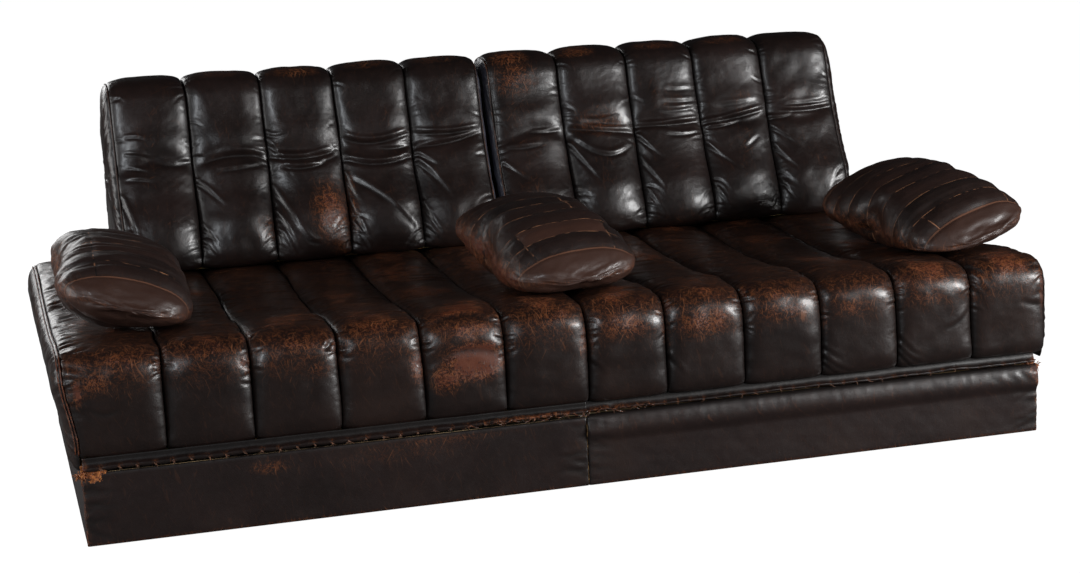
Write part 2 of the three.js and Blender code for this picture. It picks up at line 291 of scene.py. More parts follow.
def worn_leather(name, dyes, rough, grain, bare_at=0.45):
    """Pigmented cowhide: a semi-gloss, slightly waxy film over fine grain, which cracks and
    rubs through to rust-coloured hide. The points' own marks say where: rub for wear, crease
    for painted shade in folds, seams and recesses, and tone for a paler dye and, on the
    seat's fold ridges, for painted highlights. bare_at is the wear that breaks the film."""
    material, tree, shader = new_material(name, {
        "IOR": 1.5, "Specular IOR Level": 0.5, "Coat Weight": 0.12, "Coat Roughness": 0.16})
    place = add_node(tree, "TexCoord").outputs["Object"]
    rub, crease, tone = (add_node(tree, "Attribute", attribute_name=mark).outputs["Fac"]
                         for mark in ("rub", "crease", "tone"))
    # Cloudy dye, fingertip blotches, and specks of about 3 mm, drawn a little coarser than the
    # real 1 to 2 mm so that they show.
    clouds = add_node(tree, "TexNoise", {"Vector": place, "Scale": 7.0, "Detail": 3.0})
    blotches = add_node(tree, "TexNoise", {
        "Vector": place, "Scale": 38.0, "Detail": 6.0, "Roughness": 0.66})
    specks = add_node(tree, "TexNoise", {
        "Vector": place, "Scale": 240.0, "Detail": 4.0, "Roughness": 0.75})

    # The film thins where it is rubbed, then breaks into specks, then into bare patches.
    patchy = add_node(tree, "MapRange", {
        "Value": blotches, "From Min": 0.3, "From Max": 0.7, "To Min": 0.5, "To Max": 1.4})
    wear = add_node(tree, "Math", {0: rub, 1: patchy}, operation="MULTIPLY")
    thinned = add_node(tree, "MapRange", {
        "Value": wear, "From Min": bare_at - 0.2, "From Max": bare_at + 0.45,
        "To Max": 0.8}, interpolation_type="SMOOTHSTEP")
    grit = add_node(tree, "MapRange", {
        "Value": specks, "From Min": 0.42, "From Max": 0.7, "To Min": -0.5, "To Max": 0.65})
    grit = add_node(tree, "Math", {0: grit, 1: wear}, operation="MULTIPLY")
    broken = add_node(tree, "Math", {0: grit, 1: wear})
    bare = add_node(tree, "MapRange", {
        "Value": broken, "From Min": bare_at, "From Max": bare_at + 0.22,
        "To Max": 0.9}, interpolation_type="SMOOTHSTEP")

    # Curved scuff lines under a millimetre wide wander through the rubbed areas, and straight
    # scratches up to 40 mm long and half a millimetre wide run five ways.
    scuffs = add_node(tree, "Math", {0: 0.0, 1: 0.0})
    for scale, shift, width in ((46.0, 3.0, 0.018), (68.0, 5.0, 0.026), (110.0, 7.0, 0.042),
                                (170.0, 9.0, 0.055)):
        moved = add_node(tree, "VectorMath", {0: place, 1: (shift, shift, shift)})
        wander = add_node(tree, "TexNoise", {
            "Vector": moved, "Scale": scale, "Detail": 2.0, "Distortion": 1.6})
        line = add_node(tree, "Math", {0: wander, 1: 0.5, 2: width}, operation="COMPARE")
        gaps = add_node(tree, "TexNoise", {
            "Vector": moved, "Scale": scale * 0.9, "Detail": 3.0, "Roughness": 0.7})
        gaps = add_node(tree, "MapRange", {"Value": gaps, "From Min": 0.5, "From Max": 0.6})
        line = add_node(tree, "Math", {0: line, 1: gaps}, operation="MULTIPLY")
        scuffs = add_node(tree, "Math", {0: scuffs, 1: line}, operation="MAXIMUM")
    rubbed = add_node(tree, "MapRange", {
        "Value": rub, "From Min": 0.13, "From Max": 0.46, "To Min": 0.0, "To Max": 0.9})
    worn_smooth = add_node(tree, "MapRange", {
        "Value": wear, "From Min": 0.55, "From Max": 0.8, "To Min": 1.0, "To Max": 0.15})
    scuffs = add_node(tree, "Math", {0: scuffs, 1: rubbed}, operation="MULTIPLY")
    scuffs = add_node(tree, "Math", {0: scuffs, 1: worn_smooth}, operation="MULTIPLY")
    scratches = add_node(tree, "Math", {0: 0.0, 1: 0.0})
    for turn in ((0.9, 0.8, 0.3), (0.3, -1.2, 0.5), (1.5, 0.2, 1.1), (0.6, 1.5, -0.7),
                 (1.2, -0.6, 2.0)):
        drawn = add_node(tree, "Mapping", {
            "Vector": place, "Rotation": turn, "Scale": (0.04, 0.04, 0.0022)},
            vector_type="TEXTURE")
        line = add_node(tree, "TexNoise", {"Vector": drawn, "Scale": 1.0,
                                           "Detail": 2.0, "Distortion": 0.3})
        line = add_node(tree, "MapRange", {"Value": line, "From Min": 0.675, "From Max": 0.71})
        scratches = add_node(tree, "Math", {0: scratches, 1: line}, operation="MAXIMUM")
    shown = add_node(tree, "MapRange", {
        "Value": rub, "From Min": 0.1, "From Max": 0.36, "To Min": 0.06, "To Max": 0.85})
    shown = add_node(tree, "Math", {0: shown, 1: worn_smooth}, operation="MULTIPLY")
    scratches = add_node(tree, "Math", {0: scratches, 1: shown}, operation="MULTIPLY")

    dye = add_node(tree, "ValToRGB", {"Fac": clouds}, stops=[
        (0.3, dyes[0]), (0.5, dyes[1]), (0.72, dyes[2])])
    mottled = add_node(tree, "MapRange", {
        "Value": blotches, "From Min": 0.4, "From Max": 0.75, "To Max": 0.35})
    hide = add_node(tree, "ValToRGB", {"Fac": wear}, stops=[
        (0.2, "#74452c"), (0.45, "#7c4126"), (0.65, "#5e2709"), (1.0, "#622a0a")])
    # Painted shade: three quarters of the crease mark mixes in near black over folds, seams and
    # recesses. The tone mark mixes in a paler brown: a paler dye on the pillow panels, and painted
    # highlights on the seat's fold ridges.
    painted_crease_shade = add_node(tree, "Math", {0: crease, 1: 0.75}, operation="MULTIPLY")
    colour = dye
    for share, over in ((mottled, "#2a1b17"), (tone, "#452d24"), (thinned, "#42180c"),
                        (bare, hide), (scuffs, "#7c4728"), (scratches, "#825134"),
                        (painted_crease_shade, "#0a0605")):
        colour = add_node(tree, "Mix", {0: share, 6: colour, 7: over}, data_type="RGBA")

    # The film's gloss is uneven, and bare hide and the painted shade in creases are dull.
    gloss = add_node(tree, "MapRange", {
        "Value": blotches, "From Min": 0.3, "From Max": 0.7, "To Min": rough - 0.035,
        "To Max": rough + 0.035})
    fleck = add_node(tree, "MapRange", {
        "Value": specks, "From Min": 0.35, "From Max": 0.65, "To Min": -0.03, "To Max": 0.03})
    gloss = add_node(tree, "Math", {0: gloss, 1: fleck})
    gloss = add_node(tree, "Math", {0: crease, 1: 0.1, 2: gloss}, operation="MULTIPLY_ADD")
    gloss = add_node(tree, "Math", {0: bare, 1: 0.26, 2: gloss}, operation="MULTIPLY_ADD")

    # Pores of the grain about 2 mm apart, twice as coarse as real, lie over fine wrinkles and
    # a shallow unevenness.
    pores = add_node(tree, "TexVoronoi", {"Vector": place, "Scale": 480.0})
    wrinkles = add_node(tree, "TexNoise", {
        "Vector": place, "Scale": 230.0, "Detail": 3.0, "Distortion": 1.5})
    uneven = add_node(tree, "TexNoise", {"Vector": place, "Scale": 70.0, "Detail": 1.5})
    film = add_node(tree, "Math", {0: 1.0, 1: bare}, operation="SUBTRACT")
    normal = add_node(tree, "Bump", {"Height": pores, "Distance": 0.00022 * grain,
                                     "Strength": 0.5})
    for height, deep, strength in ((wrinkles, 0.0006 * grain, 0.34), (film, 0.0003, 0.4),
                                   (uneven, 0.0012 * grain, 0.26)):
        normal = add_node(tree, "Bump", {
            "Height": height, "Distance": deep, "Strength": strength, "Normal": normal})
    finish_shader(shader, {"Base Color": colour, "Roughness": gloss, "Normal": normal})
    return material


def ripple(rng, across, along, wavelength, size):
    """A smooth random unevenness over a surface, made of a dozen crossing waves."""
    total = 0
    for _ in range(12):
        heading, phase = rng.uniform(0, 2 * math.pi, 2)
        number = 2 * math.pi / (wavelength * rng.uniform(0.6, 1.8))
        total = total + np.sin(number * (across * math.cos(heading)
                                         + along * math.sin(heading)) + phase)
    return size * total / 3.5


def press_fold(relief, crease, across, along, points, width, depth, lip=0.45, held=True):
    """Presses one fold into a relief: a groove through the points with a soft lip above it
    and a faint one below, and marks the groove in crease for painted shade. A held fold starts
    at its full depth and fades along its length, and another fades at both ends. across and
    along are the grid's own distances."""
    points = np.array(points, float)
    t = np.linspace(0, 1, 22)[:, None]
    if len(points) == 3:
        control = 2 * points[1] - (points[0] + points[2]) / 2
        curve = (1 - t) ** 2 * points[0] + 2 * t * (1 - t) * control + t ** 2 * points[2]
    else:
        curve = points[0] + t * (points[-1] - points[0])
    reach = 4.5 * width
    near = ((along > curve[:, 1].min() - reach) & (along < curve[:, 1].max() + reach)
            & (across > curve[:, 0].min() - reach) & (across < curve[:, 0].max() + reach))
    if not near.any():
        return
    x, s = across[near][:, None], along[near][:, None]
    start, step = curve[:-1], np.diff(curve, axis=0)
    share = np.clip(((x - start[:, 0]) * step[:, 0] + (s - start[:, 1]) * step[:, 1])
                    / (step ** 2).sum(axis=1), 0, 1)
    off_x = x - start[:, 0] - share * step[:, 0]
    off_s = s - start[:, 1] - share * step[:, 1]
    distance = np.hypot(off_x, off_s)
    rows = np.arange(len(distance))
    nearest = distance.argmin(axis=1)
    d = distance[rows, nearest]
    upper = np.sign(off_s[rows, nearest])
    run = (nearest + share[rows, nearest]) / len(step)
    if held:
        fade = np.clip(1 - run, 0, 1) ** 0.7
    else:
        fade = np.clip(4 * run * (1 - run), 0, 1) ** 0.6
    groove = 0.5 * np.exp(-(d / width) ** 2) + 0.5 * np.exp(-d / (0.62 * width))
    side = np.exp(-((d - 2.1 * width) / (1.25 * width)) ** 2) * (1 + 0.8 * upper)
    relief[near] += depth * fade * (lip * side - groove)
    crease[near] = np.maximum(crease[near], fade * np.exp(-2 * (d / width) ** 2))


def spot(across, along, place, height, wide, tall):
    """A soft oval patch of a surface: 1 at its middle, and fading over its two half-widths."""
    return np.exp(-((across - place) / wide) ** 2 - ((along - height) / tall) ** 2)


def stretched_cover(start, end, profile, corner, thickness, relief, spacing):
    """The outer and inner grids of a cover from start to end, two plan points, left to right
    as seen from outside. profile is its section's (out, height) line, corner how far its two
    ends turn in, and relief(along, up) what stands out of its face."""
    start, end = Vector(start), Vector(end)
    length = (end - start).length
    forward = (end - start) / length
    outward = Vector((forward.y, -forward.x))
    along = np.concatenate([np.linspace(0, corner, 6)[:-1],
                            np.linspace(corner, length - corner, int(length / (1.4 * spacing))),
                            np.linspace(length - corner, length, 6)[1:]])
    inside = np.clip(np.minimum(along, length - along) / corner, 0, 1)
    turned = -corner * (1 - np.sqrt(1 - (1 - inside) ** 2))
    profile = np.array(profile)
    run = np.concatenate([[0], np.cumsum(np.hypot(*np.diff(profile, axis=0).T))])
    steps = np.linspace(0, run[-1], int(run[-1] / spacing))
    out, up = (np.interp(steps, run, profile[:, i]) for i in (0, 1))
    alongs, ups = np.meshgrid(along, up)
    depth = out[:, None] + turned[None, :] + relief(alongs, ups)
    grids = []
    for sunk in (0, thickness):
        proud = depth - sunk
        grids.append(np.stack([start.x + forward.x * alongs + outward.x * proud,
                               start.y + forward.y * alongs + outward.y * proud, ups], axis=-1))
    return grids, alongs, ups


base_leather = worn_leather("base_cowhide", ("#1c1210", "#221614", "#2a1d19"), 0.4, 1.0)
base_low, base_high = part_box("base_cover_rear")
front_left_low, front_left_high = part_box("base_cover_front_left")
base_seam = front_left_high.x
face_front, face_rear = front_left_low.y, base_high.y
face_left, face_right = base_low.x, base_high.x
base_top = base_high.z
corner_radius, hide_thickness = 0.0045, 0.0022
cover_rng = np.random.default_rng(11)

flat_profile = [(-0.006, 0.0034), (-0.0015, 0.0036), (0, 0.0058), (0, base_top - 0.004),
                (-0.0011, base_top - 0.0006), (-0.005, base_top + 0.0005),
                (-0.016, base_top + 0.0004)]
roll_profile = [(-0.006, 0.0034), (-0.0015, 0.0036), (0, 0.0058), (0, 0.092), (0.003, 0.099),
                (0.0062, 0.106), (0.0078, 0.113), (0.0078, 0.119), (0.0068, 0.126),
                (0.0047, 0.133), (0.0018, 0.1395), (-0.0012, 0.1444), (-0.006, 0.1466),
                (-0.016, 0.1462)]
covers = [
    ("front_left", (face_left, face_front), (base_seam, face_front), flat_profile),
    ("front_right", (base_seam + 0.0003, face_front), (face_right, face_front), roll_profile),
    ("right", (face_right, face_front + 0.0033), (face_right, face_rear - 0.0033),
     flat_profile),
    ("rear", (face_right, face_rear), (face_left, face_rear), flat_profile),
    ("left", (face_left, face_rear - 0.0033), (face_left, face_front + 0.0033), flat_profile),
]
# Wear on the front covers: cover, distance along it, height, half-widths, strength. A distance
# below nought is measured from the cover's right end.
cover_wear = [
    ("front_left", 0.008, 0.146, 0.016, 0.01, 0.9), ("front_left", 0.35, 0.118, 0.03, 0.012, 0.3),
    ("front_left", 0.6, 0.11, 0.15, 0.02, 0.1), ("front_left", 0.7, 0.134, 0.14, 0.008, 0.14),
    ("front_right", -0.004, 0.132, 0.014, 0.014, 0.8),
]
for side, start, end, profile in covers:
    in_front = side.startswith("front")
    seed = int(cover_rng.integers(1000))
    length = math.dist(start, end)
    folds = {}

    def stretch_marks(along, up, side=side, seed=seed, length=length, folds=folds):
        """Slack ripples, short pulls fanning out of the seams, and pleats over the roll."""
        rng = np.random.default_rng(seed)
        edge = np.minimum(along, length - along)
        relief = ripple(rng, along, up, 0.16, 0.0006) + ripple(rng, along, up, 0.04, 0.0002)
        relief *= np.clip(up / 0.02, 0, 1) * np.clip(edge / 0.015, 0, 1)
        crease = np.zeros_like(relief)
        for at in (0.0, length):
            inward = 1 if at == 0 else -1
            for _ in range(16):
                height = rng.uniform(0.015, 0.138)
                reach = rng.uniform(0.02, 0.07)
                rise = rng.uniform(-0.03, 0.03)
                press_fold(relief, crease, along, up,
                           [(at, height), (at + inward * reach * 0.6, height + 0.7 * rise),
                            (at + inward * reach, height + rise)],
                           rng.uniform(0.003, 0.005), rng.uniform(0.0004, 0.0014))
        if side == "front_right":
            pleats = np.arange(0.01, length, 0.026)
            for at in pleats + rng.uniform(-0.009, 0.009, 38)[:len(pleats)]:
                press_fold(relief, crease, along, up,
                           [(at, 0.144), (at + rng.uniform(-0.004, 0.004), 0.126),
                            (at + rng.uniform(-0.012, 0.012), rng.uniform(0.102, 0.118))],
                           0.0034, rng.uniform(0.0002, 0.0008))
            for at, deep in ((length - 0.034, 0.0018), (length - 0.062, 0.0012),
                             (length - 0.1, 0.0008)):
                press_fold(relief, crease, along, up,
                           [(at - 0.014, 0.140), (at, 0.125), (at + 0.022, 0.11)], 0.006, deep,
                           held=False)
        if in_front:
            # Painted shadow: the crease mark is full along the top of each front cover, standing in
            # for the shadow under the band's lip, and it paints shade into the centre seam.
            crease = np.maximum(crease, np.clip((up - 0.1395) / 0.003, 0, 1))
            seam_off = along if side == "front_right" else length - along
            crease = np.maximum(crease, np.exp(-(seam_off / 0.004) ** 2))
        folds["crease"] = crease
        return relief

    (outer, inner), alongs, ups = stretched_cover(
        start, end, profile, corner_radius, hide_thickness, stretch_marks,
        0.0045 if in_front else 0.007)
    edge = np.minimum(alongs, length - alongs)
    rub = 0.05 + 0.5 * np.exp(-(ups / 0.007) ** 2) + 0.5 * np.exp(-(edge / 0.004) ** 2)
    if in_front:
        rub += 0.02 + 0.04 * np.exp(-((ups - 0.125) / 0.02) ** 2)
    if side == "front_right":
        rub += 0.04 * np.exp(-((ups - 0.118) / 0.014) ** 2)
    for cover, place, height, wide, tall, strength in cover_wear:
        if cover == side:
            rub += strength * spot(alongs, ups, place % length, height, wide, tall)
    # The two front covers meet out of reach, in the centre seam.
    if in_front:
        rub[(length - alongs if side == "front_left" else alongs) < 0.02] *= 0.3
    if side == "left":
        rub += 0.5 * np.exp(-((alongs - length) / 0.012) ** 2)
    points, faces = skin(outer, inner)
    make_piece(f"leather_cover_{side}", points, faces, base_leather,
               [f"base_cover_{side}"], both_sides(rub=rub, crease=folds["crease"]))

# A narrow strip of the same hide backs the centre seam, so no timber shows through it. Its crease
# mark is full, so it is painted wholly as shade.
strip_x, strip_z = np.meshgrid([base_seam - 0.004, base_seam + 0.0043],
                               [0.0045, base_top - 0.003])
strip = np.stack([strip_x, face_front + 0.0047 + 0 * strip_x, strip_z], axis=-1)
points, faces = skin(strip, strip + (0, 0.001, 0))
make_piece("seam_shade_backing", points, faces, base_leather, (),
           {"rub": np.zeros(len(points)), "crease": np.ones(len(points))})

# ---- Laced band ----
# A strip of the mattress cover is laced to the base along the front. Its lower edge is turned
# into a lip, which each stitch of waxed thread pinches, and the lip is torn near the middle.


def tube(path, radii, sides=10):
    """Points and faces of a closed tube along a path of points, with a radius at each."""
    path = np.asarray(path, float)
    radii = np.broadcast_to(radii, len(path))
    tangents = np.gradient(path, axis=0)
    tangents /= np.linalg.norm(tangents, axis=1)[:, None]
    side = np.cross(tangents[0], (0.31, 0.17, 0.93))
    rings = []
    for place, tangent, radius in zip(path, tangents, radii):
        side = side - tangent * side.dot(tangent)
        side /= np.linalg.norm(side)
        other = np.cross(tangent, side)
        angle = np.linspace(0, 2 * math.pi, sides, endpoint=False)[:, None]
        rings.append(place + radius * (np.cos(angle) * side + np.sin(angle) * other))
    faces = grid_faces(len(path), sides, closed=True)
    last = (len(path) - 1) * sides
    faces.append(list(range(sides))[::-1])
    faces.append([last + i for i in range(sides)])
    return np.concatenate(rings), faces


def gathered(parts):
    """Points and faces of several meshes as one."""
    points, faces, count = [], [], 0
    for part_points, part_faces in parts:
        points.append(np.asarray(part_points))
        faces += [[i + count for i in face] for face in part_faces]
        count += len(part_points)
    return np.concatenate(points), faces


band_leather = worn_leather("band_cowhide", ("#140e0c", "#1a110f", "#211613"), 0.34, 0.8)
# Waxed linen thread has gone tan where the wax has worn off, and dull and fuzzy.
waxed_thread, tree, shader = new_material("waxed_linen_thread", {"Roughness": 0.75,
                                                                 "Sheen Weight": 0.2})
place = add_node(tree, "TexCoord").outputs["Object"]
twist = add_node(tree, "TexNoise", {"Vector": place, "Scale": 300.0, "Detail": 3.0})
shade = add_node(tree, "ValToRGB", {"Fac": twist.outputs["Fac"]},
                 stops=[(0.35, "#4a2b1c"), (0.65, "#8a5a3c")])
strands = add_node(tree, "Bump", {"Height": twist.outputs["Fac"], "Distance": 0.0004})
finish_shader(shader, {"Base Color": shade, "Normal": strands})

# Torn hide shows its raw fibres: dull, furry and bright tan where nothing has touched them.
torn_hide, tree, shader = new_material("torn_hide_fibres", {"Roughness": 0.85,
                                                            "Sheen Weight": 0.3})
place = add_node(tree, "TexCoord").outputs["Object"]
fibres = add_node(tree, "TexNoise", {"Vector": place, "Scale": 260.0, "Detail": 4.0})
shade = add_node(tree, "ValToRGB", {"Fac": fibres},
                 stops=[(0.35, "#5a2c14"), (0.5, "#9a5524"), (0.65, "#c07836")])
furry = add_node(tree, "Bump", {"Height": fibres, "Distance": 0.0006})
finish_shader(shader, {"Base Color": shade, "Normal": furry})

for side, stitch, lip_z, lip_out, rest in (("left", 0.0335, 0.1555, 0.0072, 0.0056),
                                           ("right", 0.0275, 0.1530, 0.0062, 0.0034)):
    low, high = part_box(f"laced_band_{side}")
    rng = np.random.default_rng(21 if side == "left" else 22)
    facing = -1 if side == "left" else 1
    outer_x = low.x if side == "left" else high.x
    x = np.linspace(low.x, high.x, 540)
    pinch = np.abs(np.sin(math.pi * (x - low.x) / stitch)) ** 0.6
    torn = np.exp(-((x + 0.13) / 0.1) ** 4) if side == "left" else np.exp(-(x / 0.12) ** 2)
    sway = ripple(rng, x, 0 * x, 0.11, 0.0008) + ripple(rng, x, 0 * x, 0.04, 0.0012) * torn
    front = low.y
    lip_height = lip_z + sway + 0.002 * torn
    radius = rest * (0.45 + 0.55 * pinch) * (1 - 0.25 * torn * rng.uniform(0.8, 1.2, len(x)))
    # The strip's section from its upper edge down the front, round the lip and back inside.
    section = [(0.0008, high.z), (0.0010, 0.172), (0.0010, 0.168), (0.0008, 0.1645)]
    rows = [np.stack([x, front + 0 * x + y + 0.0003 * np.sin(x * 31), z + 0 * x], axis=-1)
            for y, z in section]
    for angle in np.radians(np.linspace(85, -165, 14)):
        rows.append(np.stack([
            x, front - lip_out + radius - radius * 1.15 * math.cos(angle),
            lip_height + radius * math.sin(angle)], axis=-1))
    outer = np.array(rows[::-1])
    inner = outer.copy()
    inner[..., 1] = np.maximum(outer[..., 1] + 0.0012, front + 0.0022)
    inner[..., 2] += np.linspace(0.0008, 0, len(rows))[:, None]
    lip_rows = np.zeros(outer.shape[:2])
    lip_rows[:14] = 1
    rub = 0.08 + 0.26 * lip_rows * (1 - pinch) + 0.3 * lip_rows * torn
    rub += 0.5 * np.exp(-((outer[..., 0] - outer_x) / 0.008) ** 2)
    # Painted shade over the strip between the lip and the mattress, darkest along its top.
    crease = (1 - lip_rows) * np.clip(0.5 + (outer[..., 2] - 0.158) / 0.012, 0.5, 1)
    points, faces = skin(outer, inner)
    make_piece(f"laced_edge_{side}", points, faces, band_leather,
               [f"laced_band_{side}"], both_sides(rub=rub, crease=crease))

    # Each stitch is a short slanting loop of thread over the lip, with a knot or frayed ends.
    loops = []
    for at in np.arange(low.x + stitch, high.x - 0.004, stitch):
        if side == "left" and -0.2 < at < -0.02 and rng.random() < 0.5:
            continue
        at += rng.uniform(-0.0012, 0.0012)
        i = int(np.searchsorted(x, at))
        turn = np.radians(np.linspace(-5, -150, 9))
        reach = radius[i] + 0.0006
        loop = np.stack([at + 0.0022 * np.linspace(-1, 1, 9),
                         front - lip_out + radius[i] - reach * 1.15 * np.cos(turn),
                         lip_height[i] + reach * np.sin(turn)], axis=-1)
        loops.append(tube(loop, 0.0009 if side == "left" else 0.0007, 6))
        if side == "left":
            knot = loop[5] + np.outer(np.linspace(-1, 1, 5), (0.0010, 0.0002, -0.0020))
            loops.append(tube(knot, 0.0019 * np.array([0.5, 0.9, 1, 0.8, 0.4]), 7))
        for _ in range(rng.integers(1, 4) if side == "left" else rng.integers(0, 2)):
            heading = rng.uniform(-2.6, -0.5)
            reach = rng.uniform(0.004, 0.010)
            steps = np.linspace(0, 1, 5)
            bend = rng.uniform(-0.5, 0.5)
            tuft = np.stack([at + reach * steps * np.cos(heading + bend * steps),
                             front - lip_out - 0.0016 - 0.0014 * steps,
                             lip_height[i] - 0.001
                             + 0.8 * reach * steps * np.sin(heading + bend * steps)], axis=-1)
            loops.append(tube(tuft, np.linspace(0.0008, 0.0003, 5), 5))
    points, faces = gathered(loops)
    make_piece(f"lacing_thread_{side}", points, faces, waxed_thread)

    # Where the lip has torn, its raw edge curls out in ribbons, and the cover's outer top
    # corner has burst into a tuft of fibres.
    shreds = []
    spans = ([(-0.262, 0.03), (-0.205, 0.022), (-0.178, 0.03), (-0.142, 0.02), (-0.112, 0.034),
              (-0.076, 0.026), (-0.046, 0.03), (-0.02, 0.018)] if side == "left" else
             [(0.012, 0.022), (0.04, 0.03), (0.083, 0.018), (0.112, 0.02)])
    for at, length in spans:
        steps = np.linspace(0, 1, 16)
        wave = rng.uniform(0, 6)
        i = int(np.searchsorted(x, at))
        curl = np.stack([
            at + length * steps + 0.002 * np.sin(9 * steps + wave),
            front - lip_out - 0.0022 - 0.002 * np.sin(7 * steps + wave) ** 2,
            lip_height[i] - 0.002 + 0.0035 * np.sin(5.5 * steps + wave)
            - 0.003 * steps * rng.uniform(-1, 1)], axis=-1)
        shreds.append(tube(curl, 0.0013 * (0.5 + 0.6 * np.sin(math.pi * steps)), 6))
    points, faces = gathered(shreds)
    make_piece(f"torn_ribbons_{side}", points, faces, band_leather, (),
               {"rub": np.full(len(points), 0.42)})
    shreds = []
    for _ in range(90):
        start = np.array([outer_x - facing * rng.uniform(-0.012, 0.016),
                          front + rng.uniform(-0.004, 0.004), rng.uniform(0.1375, 0.1475)])
        reach = rng.uniform(0.003, 0.009)
        towards = rng.normal(0, 1, 3) * (1, 0.35, 0.8)
        towards /= np.linalg.norm(towards)
        steps = np.linspace(0, 1, 5)[:, None]
        fibre = start + reach * steps * towards + (0, 0, -0.003) * steps ** 2
        shreds.append(tube(fibre, 0.0012 * (1 - 0.6 * steps[:, 0]), 5))
    # The burst itself: a ragged pad of matted fibres that stands out of the cover.
    wide, tall = (0.024, 0.020) if side == "left" else (0.014, 0.016)
    q, r = np.meshgrid(np.linspace(-1, 1, 34), np.linspace(-1, 1, 26))
    pad_x = outer_x + wide * (q - 0.8 * facing)
    pad_z = 0.141 + tall * r
    proud = (0.0055 * (0.5 - q ** 2 - r ** 2) + ripple(rng, pad_x, pad_z, 0.016, 0.0016)
             + ripple(rng, pad_x, pad_z, 0.006, 0.0008))
    proud = np.clip(proud, -0.003, 0.0045)
    pad = np.stack([pad_x, front - proud, pad_z], axis=-1)
    shreds.append(skin(pad, np.stack([pad_x, front + 0.004 + 0 * q, pad_z], axis=-1)))
    points, faces = gathered(shreds)
    make_piece(f"torn_fibres_{side}", points, faces, torn_hide)

# ---- Mattress underside ----
# Plain black cotton closes the mattress where it lies on the deck. It is sewn to the bottoms of
# the channels, and is cut to the size of the mattress less its padded edges.

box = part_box("mattress_underside")
cotton = bonded_cloth("plain_woven_cotton", "#1b1a1a", 0.0012)
points, faces = hung_lining("mattress_lining", box, 0.0008, 0.0007, 0.09)
mattress_lining = make_piece("mattress_lining", points, faces, cotton,
                             ["mattress_underside"])

# ---- Mattress foam ----
# One slab of polyurethane foam with rounded long edges fills the mattress, under the wadding
# of its channels.


def smooth_line(corners, blur=0.009, spacing=0.002):
    """An evenly stepped line through corners, with its bends eased. Its ends stay in place."""
    corners = np.array(corners, float)
    run = np.concatenate([[0], np.cumsum(np.hypot(*np.diff(corners, axis=0).T))])
    steps = np.linspace(0, run[-1], int(run[-1] / spacing))
    line = np.column_stack([np.interp(steps, run, corners[:, i]) for i in (0, 1)])
    reach = int(3 * blur / spacing)
    weights = np.exp(-0.5 * (np.arange(-reach, reach + 1) * spacing / blur) ** 2)
    extended = np.vstack([2 * line[0] - line[reach:0:-1], line,
                          2 * line[-1] - line[-2:-reach - 2:-1]])
    return np.column_stack([np.convolve(extended[:, i], weights / weights.sum(), "valid")
                            for i in (0, 1)])


def line_at(line, runs):
    """A line's places and outward normals at distances along it. The outside is to the left
    of its direction, so a line starts at the bottom of the front and goes up and over."""
    steps = np.hypot(*np.diff(line, axis=0).T)
    run = np.concatenate([[0], np.cumsum(steps)])
    places = np.column_stack([np.interp(runs, run, line[:, i]) for i in (0, 1)])
    slope = np.gradient(line, axis=0)
    slope = np.column_stack([np.interp(runs, run, slope[:, i]) for i in (0, 1)])
    slope /= np.hypot(*slope.T)[:, None]
    return places, np.column_stack([-slope[:, 1], slope[:, 0]]), run[-1]


def arc(y, z, radius, first, last):
    """Points of an arc in a section, between two angles in degrees."""
    angles = np.radians(np.linspace(first, last, 9))
    return [(y + radius * math.cos(a), z + radius * math.sin(a)) for a in angles]


def foam_block(name, section, low_x, high_x, node):
    """A block of cut foam with a section's outline, running from low_x to high_x."""
    section = np.array(section)
    x = np.linspace(low_x, high_x, 40)
    points = [(at, y, z) for at in x for y, z in section]
    count = len(section)
    faces = [face[::-1] for face in grid_faces(len(x), count, closed=True)]
    faces.append(list(range(count)))
    faces.append([(len(x) - 1) * count + i for i in range(count)][::-1])
    piece = make_piece(name, points, faces, cut_foam, [node])
    return piece


# Polyurethane foam yellows with age. Its cut face is dull, and pitted with open cells.
cut_foam, tree, shader = new_material("cut_polyurethane_foam", {
    "Roughness": 0.95, "Subsurface Weight": 0.1, "Subsurface Scale": 0.004})
place = add_node(tree, "TexCoord").outputs["Object"]
cells = add_node(tree, "TexVoronoi", {"Vector": place, "Scale": 700.0})
yellowing = add_node(tree, "TexNoise", {"Vector": place, "Scale": 9.0, "Detail": 4.0})
shade = add_node(tree, "ValToRGB", {"Fac": yellowing.outputs["Fac"]},
                 stops=[(0.3, "#e0cd97"), (0.7, "#c9ab6c")])
pits = add_node(tree, "Bump", {"Height": cells.outputs["Distance"], "Distance": 0.0008})
finish_shader(shader, {"Base Color": shade, "Normal": pits})

wadding = 0.045
foam_low, foam_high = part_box("mattress_foam")
seat_foam_line, _ = line_at(smooth_line(
    [(foam_low.y, foam_low.z), *arc(foam_low.y + 0.013, 0.319, 0.013, 180, 90),
     (-0.343, foam_high.z), (-0.2, 0.3165), (0, 0.3165), (0.2, foam_high.z - 0.002),
     *arc(foam_high.y - 0.013, 0.317, 0.013, 90, 0), (foam_high.y, foam_low.z)],
    blur=0.004), np.linspace(0, 1.12, 90))[:2]
foam_block("mattress_foam_core", seat_foam_line, foam_low.x, foam_high.x - 0.02,
           "mattress_foam")

# ---- Seat channels ----
# Twelve tubes of leather over wadding, sewn side by side at 165 mm and run from the laced
# front over the top to the bottom of the rear. The seams gather the leather into short folds.

channel_pitch = 0.165
seat_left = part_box("seat_channel_01")[0].x - 0.00015
seat_front = -0.5
seat_bottom = 0.176
shoulder = 0.058


